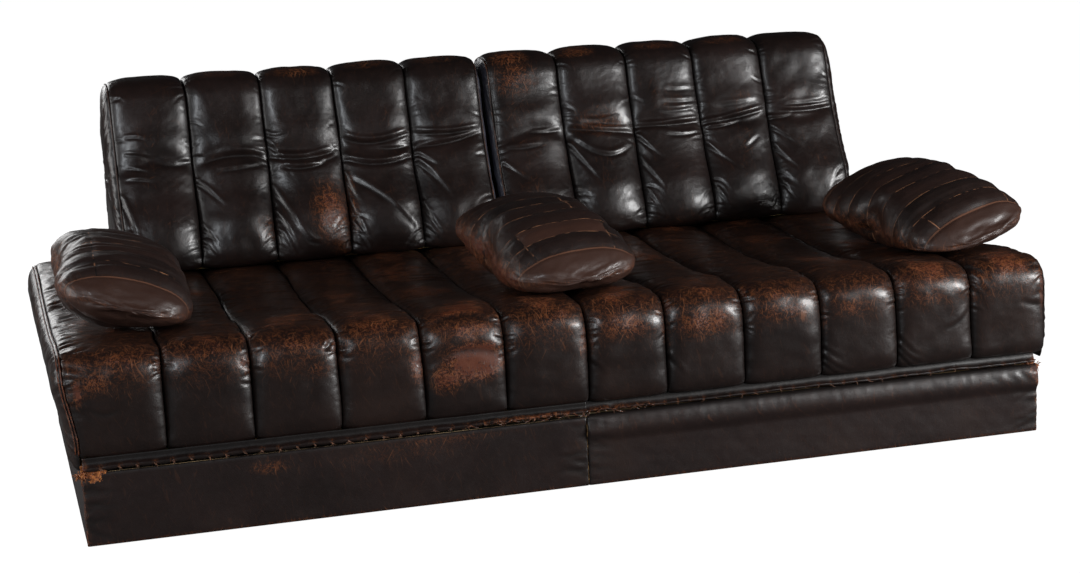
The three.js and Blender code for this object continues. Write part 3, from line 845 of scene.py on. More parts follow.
def seat_corners(rear_crown):
    """The crown line over the mattress. The seat has sagged 15 mm where people sat."""
    return [(-0.474, seat_bottom - 0.008), (-0.488, seat_bottom - 0.005),
            (-0.4965, seat_bottom + 0.006), (seat_front, 0.2),
            *arc(seat_front + shoulder, 0.377 - shoulder, shoulder, 180, 90),
            (-0.343, 0.377), (-0.2, 0.362), (0, 0.362), (0.2, 0.375), (0.32, rear_crown),
            *arc(0.5 - shoulder, rear_crown - shoulder, shoulder, 90, 0), (0.5, 0.156)]


def seam_path(number, along, sway, seed):
    """How far a sewn seam strays sideways along its length."""
    rng = np.random.default_rng(seed + number)
    return sway * (np.sin(along * 2 * math.pi / rng.uniform(0.5, 0.9) + rng.uniform(0, 6))
                   + 0.5 * np.sin(along * 2 * math.pi / rng.uniform(0.15, 0.3)
                                  + rng.uniform(0, 6)))


def left_flare(z):
    """How far the left end's seam leans out at a height, where the stuffing pushes it."""
    return 0.02 * np.sin(0.5 * math.pi * np.clip((z - 0.19) / 0.15, 0, 1)) ** 2


def channel_grid(along, left, right, columns=39):
    """Across distances for each point of a channel, closest together beside its seams."""
    q = np.linspace(0, 1, columns)
    t = 0.5 * q + 0.25 * (1 - np.cos(math.pi * q))
    across = left[:, None] + (right - left)[:, None] * t[None, :]
    return across, np.broadcast_to(along[:, None], across.shape), t


def crowned(t, sunk, fullness, end_sunk, end_full, first, last):
    """Height of a padded channel under its crown line: sunk at its two seams, and the more
    square-shouldered towards each the higher its fullness. The left seam of the first channel
    and the right seam of the last are shallower."""
    u = np.abs(2 * t - 1)[None, :]
    at_end = ((t < 0.5) & first | (t >= 0.5) & last)[None, :]
    sunk = np.where(at_end, np.minimum(sunk, end_sunk)[:, None], sunk[:, None])
    fullness = np.where(at_end, end_full, fullness[:, None])
    return -sunk * (1 - np.sqrt(np.clip(1 - u ** fullness, 0, 1)))


def seam_painted_shade(t, crease, tight, wide):
    """A crease mark of painted shade in the seams, which fades out over about a centimetre beside
    them.
    """
    off = np.minimum(t, 1 - t)[None, :] * channel_pitch
    crease = np.maximum(crease, np.exp(-(off / tight) ** 2))
    return np.maximum(crease, 0.7 * np.exp(-(off / wide) ** 2))


def pucker(rng, relief, crease, across, along, seams, spans, spacing, reach, depth, width):
    """Short folds that a gathered seam throws off to one side, in uneven clusters. spans are
    the (from, to, strength) stretches of the seam, and seams its distance across at each grid
    row."""
    rows = along[:, 0]
    for first, last, strength in spans:
        at = first
        while at < last:
            at += spacing * rng.choice([0.35, 0.6, 1.0, 2.4])
            foot = float(np.interp(at, rows, seams))
            inward = 1 if across[0].mean() > foot else -1
            size = rng.uniform(0.25, 1) ** 1.6
            out = reach * (0.3 + size)
            rise = out * rng.uniform(-0.8, 0.8)
            press_fold(relief, crease, across, along,
                       [(foot, at), (foot + inward * out * 0.6, at + 0.35 * rise),
                        (foot + inward * out, at + rise)],
                       width * rng.uniform(0.7, 1.1), 1.3 * depth * strength * size, lip=0.3)


def channel_mesh(across, relief, places, normals, x_of, thickness):
    """Points and faces of a channel: its crowned skin, two walls down into the seams, and a
    flat inside at a depth of thickness. x_of is the x of the channel's left seam."""
    rows, columns = relief.shape
    left, right = across[:, :1], across[:, -1:]
    deep_left, deep_right = relief[:, :1], relief[:, -1:]
    ring = [across, right + 0.0006, right + 0.0006, right - 0.002, (left + right) / 2,
            left + 0.002, left - 0.0006, left - 0.0006]
    depth = [relief, deep_right * 0.75 - thickness * 0.25, deep_right * 0.3 - thickness * 0.7,
             0 * right - thickness, 0 * right - thickness, 0 * left - thickness,
             deep_left * 0.3 - thickness * 0.7, deep_left * 0.75 - thickness * 0.25]
    x = x_of + np.concatenate(ring, axis=1)
    off = np.concatenate(depth, axis=1)
    y = places[:, :1] + normals[:, :1] * off
    z = places[:, 1:] + normals[:, 1:] * off
    count = x.shape[1]
    faces = grid_faces(rows, count, closed=True)
    faces.append(list(range(count))[::-1])
    faces.append([(rows - 1) * count + i for i in range(count)])
    return np.stack([x, y, z], axis=-1).reshape(-1, 3), faces


def ring_mark(values, count=7):
    """A mark for a channel's skin, carried over its walls and inside from the seams."""
    return np.concatenate([values, np.repeat(values[:, -1:], count, axis=1)], axis=1)


seat_leather = worn_leather("seat_cowhide", ("#170e0c", "#1e1310", "#281a15"), 0.34, 1.0, 0.4)
# Wear on the seat: channel, place across it, distance along it from its front lower edge,
# spread across, spread along, strength.
seat_wear = [
    (1, 0.5, 0.195, 0.35, 0.03, 0.42), (1, 0.2, 0.165, 0.25, 0.03, 0.45),
    (1, 0.03, 0.15, 0.05, 0.03, 0.9),
    (2, 0.5, 0.2, 0.45, 0.025, 0.36), (2, 0.95, 0.17, 0.1, 0.02, 0.75),
    (3, 0.5, 0.2, 0.5, 0.03, 0.42), (3, 0.8, 0.15, 0.3, 0.03, 0.3),
    (4, 0.4, 0.23, 0.5, 0.05, 0.46), (4, 0.95, 0.13, 0.12, 0.04, 0.75),
    (4, 0.5, 0.4, 0.4, 0.08, 0.36),
    (5, 0.62, 0.13, 0.36, 0.034, 1.3), (5, 0.6, 0.19, 0.4, 0.03, 0.5),
    (5, 0.25, 0.1, 0.22, 0.03, 0.6), (5, 0.5, 0.26, 0.5, 0.06, 0.5),
    (5, 0.3, 0.5, 0.35, 0.14, 0.42), (5, 0.2, 0.75, 0.3, 0.14, 0.38),
    (6, 0.6, 0.2, 0.5, 0.04, 0.4), (6, 0.95, 0.15, 0.08, 0.05, 0.5),
    (7, 0.5, 0.17, 0.5, 0.035, 0.46), (7, 0.3, 0.23, 0.4, 0.04, 0.4),
    (8, 0.5, 0.16, 0.5, 0.04, 0.48), (8, 0.6, 0.3, 0.5, 0.08, 0.42),
    (9, 0.5, 0.165, 0.5, 0.03, 0.4), (9, 0.5, 0.4, 0.4, 0.12, 0.42),
    (10, 0.4, 0.16, 0.4, 0.03, 0.36), (10, 0.5, 0.45, 0.4, 0.1, 0.4),
    (10, 0.77, 0.55, 0.06, 0.01, 0.7), (11, 0.4, 0.165, 0.4, 0.03, 0.34),
    (11, 0.5, 0.4, 0.5, 0.1, 0.36), (12, 0.97, 0.16, 0.06, 0.06, 0.75),
    (12, 0.5, 0.5, 0.5, 0.1, 0.3),
]
# Folds of their own: channel, points (place across, distance along), width and depth in
# millimetres, and whether a seam holds the first point.
seat_folds = [
    (5, [(0.0, 0.118), (0.45, 0.15), (0.97, 0.13)], 9, 2.2, False),
    (5, [(0.02, 0.2), (0.5, 0.225), (0.98, 0.195)], 7, 2.0, False),
    (1, [(0.1, 0.12), (0.3, 0.1), (0.5, 0.112)], 6, 1.2, False),
    (10, [(0, 0.075), (0.12, 0.06), (0.22, 0.05)], 4, 2.0, True),
    (10, [(0, 0.055), (0.2, 0.03), (0.42, 0.018)], 4, 2.4, True),
    (10, [(0, 0.04), (0.14, 0.02), (0.28, 0.01)], 4, 2.0, True),
    (11, [(0, 0.08), (0.15, 0.05), (0.26, 0.04)], 4, 2.2, True),
    (11, [(0, 0.06), (0.2, 0.028), (0.45, 0.012)], 4, 3.0, True),
    (11, [(0, 0.045), (0.15, 0.018), (0.3, 0.008)], 4, 2.6, True),
    (11, [(0.6, 0.09), (0.8, 0.1), (1, 0.13)], 5, 1.2, False),
    (12, [(0, 0.31), (0.14, 0.3), (0.3, 0.26)], 5, 2.6, True),
    (12, [(0, 0.27), (0.14, 0.255), (0.26, 0.22)], 5, 3.0, True),
    (12, [(0, 0.235), (0.12, 0.21), (0.24, 0.18)], 5, 3.2, True),
    (12, [(0, 0.2), (0.1, 0.175), (0.2, 0.15)], 4, 3.0, True),
    (12, [(0, 0.17), (0.09, 0.15), (0.17, 0.12)], 4, 2.4, True),
    (8, [(0, 0.09), (0.1, 0.07), (0.17, 0.05)], 4, 2.4, True),
    (7, [(0, 0.1), (0.1, 0.088), (0.16, 0.07)], 4, 2.2, True),
    (3, [(0.97, 0.21), (0.9, 0.19), (0.84, 0.185)], 5, 4.0, False),
    (4, [(0, 0.17), (0.1, 0.16), (0.24, 0.17)], 5, 3.4, True),
]
runs = np.concatenate([np.arange(0, 0.32, 0.0035), np.arange(0.32, 0.9, 0.0056),
                       np.arange(0.90, 1.42, 0.012)])
for number in range(1, 13):
    rng = np.random.default_rng(100 + number)
    line = smooth_line(seat_corners(0.39 if number == 1 else 0.375))
    total = line_at(line, [0])[2]
    along_line = np.append(runs[runs < total - 0.004], total)
    places, normals, _ = line_at(line, along_line)
    rows = len(along_line)
    left = seam_path(number - 1, along_line, 0.0016, 40) * (number > 1) + 0.0005
    right = (channel_pitch + seam_path(number, along_line, 0.0016, 40) * (number < 12)
             - 0.0005)
    if number == 1:
        left -= left_flare(places[:, 1])
    across, along, t = channel_grid(along_line, left, right)

    # Seams lie deepest round the front shoulder. The top has been sat almost flat.
    sunk = np.interp(along_line, [0, 0.02, 0.05, 0.12, 0.19, 0.26, 0.4, 0.75, 0.95, 1.3],
                     [0.004, 0.009, 0.016, 0.02, 0.025, 0.018, 0.013, 0.013, 0.018, 0.018])
    sunk = sunk * rng.uniform(0.94, 1.08)
    fullness = np.interp(along_line, [0, 0.1, 0.14, 0.2, 0.3, 0.9], [5.0, 4.6, 3.4, 2.6, 2.8, 2.8])
    relief = crowned(t, sunk, fullness, 0.010 if number == 1 else 0.016,
                     3.4 if number == 1 else 3.8, number == 1, number == 12)
    crease = np.zeros_like(relief)
    settle = np.clip(along / 0.05, 0, 1)
    relief += settle * (ripple(rng, across, along, 0.2, 0.0016)
                        + ripple(rng, across, along, 0.06, 0.0005)
                        + ripple(rng, across, along, 0.02, 0.00012))
    relief -= 0.0025 * np.exp(-((along - 0.5) / 0.2) ** 2) * rng.uniform(0, 1)

    # Shallow cross folds where the seat bends, arched from seam to seam.
    at = 0.235
    while at < 0.86:
        at += rng.uniform(0.016, 0.05)
        side = rng.choice([0.0, 1.0])
        reach = rng.uniform(0.3, 0.98)
        bow = rng.uniform(-0.012, 0.02)
        end = side + (reach if side == 0 else -reach)
        press_fold(relief, crease, across, along,
                   [(side * channel_pitch, at), ((side + end) / 2 * channel_pitch, at + bow),
                    (end * channel_pitch, at + rng.uniform(-0.008, 0.008))],
                   rng.uniform(0.0032, 0.0055), rng.uniform(0.0005, 0.0017), lip=0.6)
    for channel, points, width, depth, held in seat_folds:
        if channel == number:
            press_fold(relief, crease, across, along,
                       [(a * channel_pitch, s) for a, s in points], width * 0.001,
                       depth * 0.001, held=held)
    for seam in (left, right):
        pucker(rng, relief, crease, across, along, seam,
               [(0.0, 0.12, 0.25), (0.12, 0.23, 1.5), (0.23, 0.85, 0.35)], 0.014, 0.020, 0.0022,
               0.0028)
    if number in (1, 12):
        pucker(rng, relief, crease, across, along, left if number == 1 else right,
               [(0.1, 1.1, 1.0)], 0.010, 0.055, 0.0026, 0.0062)

    rub = (0.08 + 0.16 * np.clip((along - 0.1) / 0.09, 0, 1)
           + 0.06 * np.exp(-((along - 0.2) / 0.05) ** 2))
    # Three short bare places stand beside a seam, on its left or its right.
    from_seam = np.minimum(t, 1 - t)[None, :] * channel_pitch
    for at in rng.uniform(0.12, 0.26, 3):
        strength = 0.4 * rng.uniform()
        half = t[None, :] < 0.5 if rng.random() < 0.5 else t[None, :] > 0.5
        rub += strength * half * spot(from_seam, along, 0.006, at, 0.004, 0.02)
    for channel, a, s, wide, long, strength in seat_wear:
        if channel == number:
            rub = np.maximum(rub, strength * spot(across / channel_pitch, along, a, s, wide,
                                                  long))
    # Painted highlight: the raised fold ridges on the top are lightened through the rub and tone
    # marks, standing in for the sheen they catch.
    ridge_painted_highlight = np.clip(relief / 0.0011, 0, 1) * np.clip((along - 0.18) / 0.03, 0, 1)
    rub += 0.22 * ridge_painted_highlight
    # Painted shade darkens the seams and the leather beside them.
    crease = seam_painted_shade(t, 0.8 * crease, 0.0045, 0.013)
    points, faces = channel_mesh(across, relief, places, normals,
                                 seat_left + (number - 1) * channel_pitch, wadding)
    piece = make_piece(f"seat_tube_{number:02d}", points, faces, seat_leather,
                       [f"seat_channel_{number:02d}"],
                       {"rub": ring_mark(rub), "crease": ring_mark(crease),
                        "tone": ring_mark(0.5 * ridge_painted_highlight)})

# ---- Mattress ends ----
# A padded panel closes each end of the mattress. It is gathered onto a piped seam that runs
# round the end channel, so short folds stand all along the seam.


def end_panel(outline, seam_x, bulge, side, rng, gathers, reach, deep, sweep=0.0):
    """Points, faces and marks of a padded end panel that bulges out to one side of a seam
    outline of (y, z) points, with folds standing in from the outline. sweep lays the folds
    over along it."""
    outline = np.array(outline)
    step = np.hypot(*np.diff(outline, axis=0, append=outline[:1]).T)
    run = np.concatenate([[0], np.cumsum(step)])
    count = int(run[-1] / 0.0065)
    at = np.linspace(0, run[-1], count, endpoint=False)
    ring = np.column_stack([np.interp(at, run, np.append(outline[:, i], outline[0, i]))
                            for i in (0, 1)])
    low, high = ring.min(axis=0), ring.max(axis=0)
    centre, half = (low + high) / 2, (high - low) / 2
    # The rings shrink onto a level spine, so that the panel has no pinched middle.
    spine = np.column_stack([
        centre[0] + np.clip(ring[:, 0] - centre[0], -1, 1) * np.clip(1 - half[1] / half[0], 0, 1),
        np.full(count, centre[1])])
    depth_line = np.concatenate([[0, 0.01, 0.022, 0.038, 0.058, 0.08], np.linspace(0.11, 0.94, 22)])
    folds = np.zeros((len(depth_line), count))
    crease = np.zeros_like(folds)
    inward = depth_line[:, None] * half.min() + 0 * folds
    around = at[None, :] + 0 * folds
    place = 0.0
    while place < run[-1]:
        place += gathers * rng.uniform(0.55, 1.6)
        out = reach * rng.uniform(0.4, 1.3)
        lean = (rng.uniform(-0.3, 0.3) + sweep) * out
        press_fold(folds, crease, around, inward,
                   [(place, 0), (place + 0.4 * lean, 0.5 * out), (place + lean, out)],
                   0.0036, deep * rng.uniform(0.4, 1.2))
    dome = (1 - (1 - np.clip(depth_line / 0.35, 0, 1)) ** 2) ** 0.6
    dome = dome * (0.82 + 0.18 * np.clip(depth_line, 0, 1))
    proud = bulge * dome[:, None] + folds
    proud += np.clip(inward / 0.04, 0, 1) * ripple(rng, around, inward, 0.1, 0.001)
    flat = ring[None] + (spine - ring)[None] * depth_line[:, None, None]
    x = seam_x + side * np.concatenate([np.zeros((1, count)), proud + 0.0006])
    flat = np.concatenate([flat[:1], flat])
    points = np.stack([x, flat[..., 0], flat[..., 1]], axis=-1)
    faces = grid_faces(len(points), count, closed=True)
    faces.append(list(range(count))[::-1])
    faces.append([(len(points) - 1) * count + i for i in range(count)])
    if side < 0:
        faces = [face[::-1] for face in faces]
    # The crease mark paints shade along the seam at the panel's edge and into the gathers.
    edge = np.exp(-(inward / 0.004) ** 2)
    marks = {"crease": np.concatenate([edge[:1], np.maximum(crease * 0.7, edge)]),
             "rub": np.concatenate([0.1 + 0 * edge[:1], 0.08 + 0.08 * np.exp(
                 -((inward - 0.02) / 0.015) ** 2)])}
    return points.reshape(-1, 3), faces, marks


def underside_closed(line, depth, floor):
    """A closed seam outline: a crown line sunk by depth, and straight along its underside."""
    places, normals, _ = line_at(line, np.linspace(0, 1, 200) * line_at(line, [0])[2])
    sunk = places - normals * depth
    return np.concatenate([[(sunk[0, 0], floor)], sunk[2:-2], [(sunk[-1, 0], floor)]])


# Welt piping of the same hide has worn through to its tan core along the crest.
piping_leather = worn_leather("piping_cowhide", ("#1f1310", "#2a1a14", "#3a251b"), 0.5, 0.7)
for side, sign, crown in (("left", -1, 0.39), ("right", 1, 0.375)):
    rng = np.random.default_rng(31 if side == "left" else 32)
    line = smooth_line(seat_corners(crown))
    low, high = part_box(f"mattress_end_{side}")
    seam_x = high.x if sign < 0 else low.x
    sunk = 0.010 if sign < 0 else 0.017
    outline = underside_closed(line, sunk, low.z if sign < 0 else low.z + 0.01)
    points, faces, marks = end_panel(outline[::-1], seam_x, 0.023 if sign < 0 else 0.016, sign,
                                     rng, 0.02, 0.05, 0.0036 if sign < 0 else 0.0018)
    if side == "left":
        points[:, 0] -= left_flare(points[:, 2])
    panel = make_piece(f"end_panel_{side}", points, faces, seat_leather,
                       [f"mattress_end_{side}"], marks)
    places, normals, _ = line_at(line, np.arange(0.012, 1.36, 0.005))
    welt = places - normals * (sunk - 0.0008)
    for shift in (0.0, 0.0055) if sign < 0 else (0.0,):
        path = np.column_stack([np.full(len(welt), seam_x + sign * (0.0015 + shift)),
                                welt - normals * (0.25 * shift)])
        path[:, 1:] += 0.0006 * np.sin(np.arange(len(welt)) * 0.9)[:, None] * normals
        if side == "left":
            path[:, 0] -= left_flare(path[:, 2])
        points, faces = tube(path, 0.0013, 8)
        make_piece(f"end_piping_{side}_{'inner' if shift == 0 else 'outer'}", points, faces,
                   piping_leather, (),
                   {"rub": np.full(len(points), 0.62 if sign < 0 else 0.1)})

# ---- Back cushions ----
# Two loose wedges of foam stand on the mattress. Five leather channels run up the front of
# each, over its crest and a little way down the rear, where a flat panel closes it. Years of
# leaning have broken each channel into deep folds at its waist.

back_bottom, back_top, back_rear = 0.3755, 0.791, 0.4877
back_wadding = 0.038
back_corners = [(0.236, back_bottom), (0.214, 0.3775), (0.200, 0.394), (0.1975, 0.416),
                (0.203, 0.446), (0.217, 0.485), (0.252, 0.540), (0.287, 0.615), (0.312, 0.690),
                (0.330, 0.752), (0.346, 0.775), (0.375, 0.788), (0.420, back_top), (0.462, 0.778),
                (0.484, 0.752), (back_rear, 0.730)]
back_leather = worn_leather("back_cowhide", ("#150f0e", "#1b1311", "#241a18"), 0.33, 1.0)
# A paler, bluish copy of the back hide: painted reflection of the cool light in the gap between the
# cushions.
gap_reflection_leather = worn_leather("painted_gap_reflection_cowhide", ("#33343c", "#42444f", "#565964"), 0.36, 1.0)
back_line = smooth_line(back_corners)
back_length = line_at(back_line, [0])[2]
climb = np.arange(0, 0.47, 0.0029)
back_runs = np.append(np.concatenate([climb, np.arange(0.47, back_length - 0.004, 0.0065)]),
                      back_length)
back_places, back_normals, _ = line_at(back_line, back_runs)
visible_rise = back_places[:, 1].argmax()


def run_at(height):
    """The distance along the back's crown line at a share of the height of its front."""
    z = back_bottom + height * (back_top - back_bottom)
    return np.interp(z, back_places[:visible_rise, 1], back_runs[:visible_rise])


# Folds of each channel: points (place across, share of the front's height), width and depth
# in millimetres, and whether a seam holds the first point.
back_folds = {
    "left": [
        [([(0.12, 0.70), (0.28, 0.70), (0.42, 0.68)], 4, 2.0, False),
         ([(0.10, 0.62), (0.28, 0.61), (0.46, 0.59)], 4, 2.2, False),
         ([(0.12, 0.55), (0.26, 0.54), (0.4, 0.52)], 4, 2.0, False),
         ([(0.08, 0.49), (0.26, 0.485), (0.44, 0.47)], 5, 2.2, False),
         ([(0.5, 0.57), (0.75, 0.55), (1.0, 0.57)], 8, 2.5, False),
         ([(0, 0.40), (0.09, 0.29), (0.17, 0.15)], 6, 4.0, True)],
        [([(0.14, 0.55), (0.55, 0.575), (1, 0.56)], 8, 5.0, False),
         ([(0.3, 0.50), (0.6, 0.505), (0.95, 0.52)], 6, 2.2, False),
         ([(0.02, 0.46), (0.18, 0.40), (0.34, 0.33)], 5, 4.0, True),
         ([(0, 0.25), (0.12, 0.18), (0.22, 0.09)], 5, 3.0, True),
         ([(0, 0.16), (0.1, 0.11), (0.2, 0.05)], 4, 2.8, True)],
        [([(0.02, 0.675), (0.15, 0.655), (0.33, 0.67)], 4, 3.0, True),
         ([(0, 0.565), (0.42, 0.535), (0.9, 0.56)], 7, 7.0, False),
         ([(0.16, 0.505), (0.48, 0.483), (0.8, 0.51)], 6, 5.0, False),
         ([(0.01, 0.63), (0.17, 0.55), (0.3, 0.44)], 5, 3.2, True),
         ([(0.6, 0.53), (0.76, 0.515), (0.97, 0.545)], 5, 1.6, False),
         ([(0, 0.40), (0.15, 0.30), (0.32, 0.14)], 6, 4.2, True),
         ([(0, 0.29), (0.12, 0.2), (0.24, 0.07)], 5, 4.0, True),
         ([(0, 0.19), (0.1, 0.12), (0.2, 0.03)], 4, 3.2, True),
         ([(0.28, 0.2), (0.4, 0.12), (0.57, 0.1)], 6, 2.2, False)],
        [([(0.04, 0.63), (0.45, 0.585), (0.98, 0.625)], 7, 6.0, False),
         ([(0.01, 0.525), (0.5, 0.475), (1, 0.515)], 7, 7.0, False),
         ([(0.5, 0.56), (0.75, 0.55), (1, 0.57)], 5, 2.4, False),
         ([(0.06, 0.42), (0.45, 0.31), (0.88, 0.12)], 8, 2.6, False),
         ([(0, 0.32), (0.1, 0.2), (0.22, 0.07)], 5, 4.0, True),
         ([(0, 0.2), (0.12, 0.12), (0.24, 0.02)], 4, 3.4, True),
         ([(0, 0.44), (0.08, 0.36), (0.16, 0.28)], 5, 3.4, True)],
        [([(0.03, 0.62), (0.5, 0.60), (0.97, 0.618)], 6, 5.0, False),
         ([(0.04, 0.55), (0.5, 0.556), (0.97, 0.60)], 6, 5.2, False),
         ([(0.05, 0.51), (0.16, 0.48), (0.3, 0.44)], 5, 3.4, True),
         ([(0.03, 0.47), (0.24, 0.38), (0.44, 0.25)], 6, 3.6, True),
         ([(0, 0.27), (0.12, 0.16), (0.25, 0.07)], 5, 4.0, True),
         ([(0, 0.15), (0.12, 0.09), (0.26, 0.03)], 4, 3.0, True)],
    ],
    "right": [
        [([(0.1, 0.50), (0.35, 0.49), (0.62, 0.50)], 6, 2.6, False),
         ([(0.48, 0.57), (0.7, 0.565), (0.95, 0.58)], 5, 2.4, False),
         ([(0.04, 0.42), (0.22, 0.36), (0.4, 0.31)], 5, 3.0, True),
         ([(0, 0.25), (0.1, 0.16), (0.2, 0.08)], 5, 3.0, True)],
        [([(0.02, 0.585), (0.5, 0.55), (1, 0.535)], 7, 5.4, False),
         ([(0.02, 0.55), (0.48, 0.42), (0.92, 0.47)], 7, 3.4, False),
         ([(0.01, 0.49), (0.2, 0.38), (0.4, 0.26)], 5, 3.8, True),
         ([(0.2, 0.63), (0.5, 0.615), (0.8, 0.63)], 5, 2.0, False),
         ([(0, 0.22), (0.1, 0.14), (0.2, 0.07)], 4, 3.0, True)],
        [([(0, 0.565), (0.5, 0.555), (1, 0.57)], 6, 6.0, False),
         ([(0.4, 0.63), (0.65, 0.625), (1, 0.64)], 6, 2.0, False),
         ([(0.45, 0.68), (0.7, 0.67), (1, 0.68)], 6, 1.7, False),
         ([(0.5, 0.745), (0.7, 0.735), (0.98, 0.745)], 6, 1.3, False),
         ([(0.42, 0.505), (0.7, 0.495), (0.97, 0.51)], 6, 2.6, False),
         ([(0.02, 0.51), (0.18, 0.44), (0.36, 0.37)], 5, 4.2, True),
         ([(0, 0.40), (0.14, 0.31), (0.28, 0.22)], 5, 3.6, True),
         ([(0, 0.25), (0.12, 0.16), (0.22, 0.08)], 4, 3.0, True)],
        [([(0, 0.55), (0.45, 0.562), (0.97, 0.60)], 6, 6.0, False),
         ([(0.04, 0.525), (0.3, 0.525), (0.58, 0.545)], 5, 4.0, False),
         ([(0.2, 0.64), (0.5, 0.635), (0.85, 0.65)], 6, 1.2, False),
         ([(0.02, 0.44), (0.2, 0.37), (0.42, 0.29)], 5, 3.8, True),
         ([(0.8, 0.46), (0.7, 0.43), (0.58, 0.4)], 6, 1.8, False),
         ([(0, 0.24), (0.1, 0.15), (0.22, 0.08)], 4, 3.0, True)],
        [([(0, 0.55), (0.2, 0.545), (0.38, 0.56)], 5, 4.0, True),
         ([(0.18, 0.58), (0.6, 0.575), (1, 0.59)], 6, 5.0, False),
         ([(0.25, 0.61), (0.6, 0.608), (0.95, 0.62)], 6, 1.8, False),
         ([(0, 0.63), (0.15, 0.625), (0.32, 0.64)], 4, 2.6, True),
         ([(0.01, 0.50), (0.2, 0.44), (0.42, 0.37)], 5, 3.8, True),
         ([(0.02, 0.40), (0.16, 0.33), (0.32, 0.26)], 5, 3.2, True),
         ([(0, 0.24), (0.12, 0.15), (0.24, 0.07)], 4, 3.0, True)],
    ],
}
# Wear on the backs: cushion, channel, place across, height share, spreads, strength.
back_wear = [
    ("left", 3, 0.78, 0.24, 0.28, 0.17, 0.62), ("left", 3, 0.9, 0.1, 0.2, 0.1, 0.5),
    ("left", 2, 0.9, 0.2, 0.2, 0.1, 0.32), ("left", 4, 0.05, 0.3, 0.1, 0.2, 0.4),
    ("left", 4, 0.5, 0.99, 0.4, 0.02, 0.34), ("left", 2, 0.5, 0.99, 0.4, 0.02, 0.3),
    ("left", 3, 0.5, 0.98, 0.4, 0.03, 0.36), ("left", 5, 0.5, 0.99, 0.4, 0.02, 0.34),
    ("right", 1, 0.35, 0.86, 0.35, 0.1, 0.42), ("right", 1, 0.3, 0.97, 0.3, 0.04, 0.5),
    ("right", 2, 0.3, 0.98, 0.3, 0.03, 0.44), ("right", 3, 0.5, 0.98, 0.4, 0.02, 0.34),
    ("right", 4, 0.5, 0.98, 0.4, 0.02, 0.3), ("right", 2, 0.5, 0.6, 0.5, 0.1, 0.28),
]


def back_inset(depth, floor):
    """A closed outline of a back cushion's section, sunk inside its crown line."""
    places, normals, _ = line_at(back_line, np.linspace(0, back_length, 140))
    sunk = places - normals * depth
    sunk = sunk[(sunk[:, 1] > floor) & (sunk[:, 0] < back_rear - 0.0001)]
    return np.concatenate([[(sunk[0, 0], floor)], sunk, [(back_rear, sunk[-1, 1])],
                           [(back_rear, floor)]])


def steady_outline(outline, spacing=0.008):
    """A closed outline at even steps."""
    closed = np.vstack([outline, outline[:1]])
    run = np.concatenate([[0], np.cumsum(np.hypot(*np.diff(closed, axis=0).T))])
    steps = np.arange(0, run[-1], spacing)
    return np.column_stack([np.interp(steps, run, closed[:, i]) for i in (0, 1)])


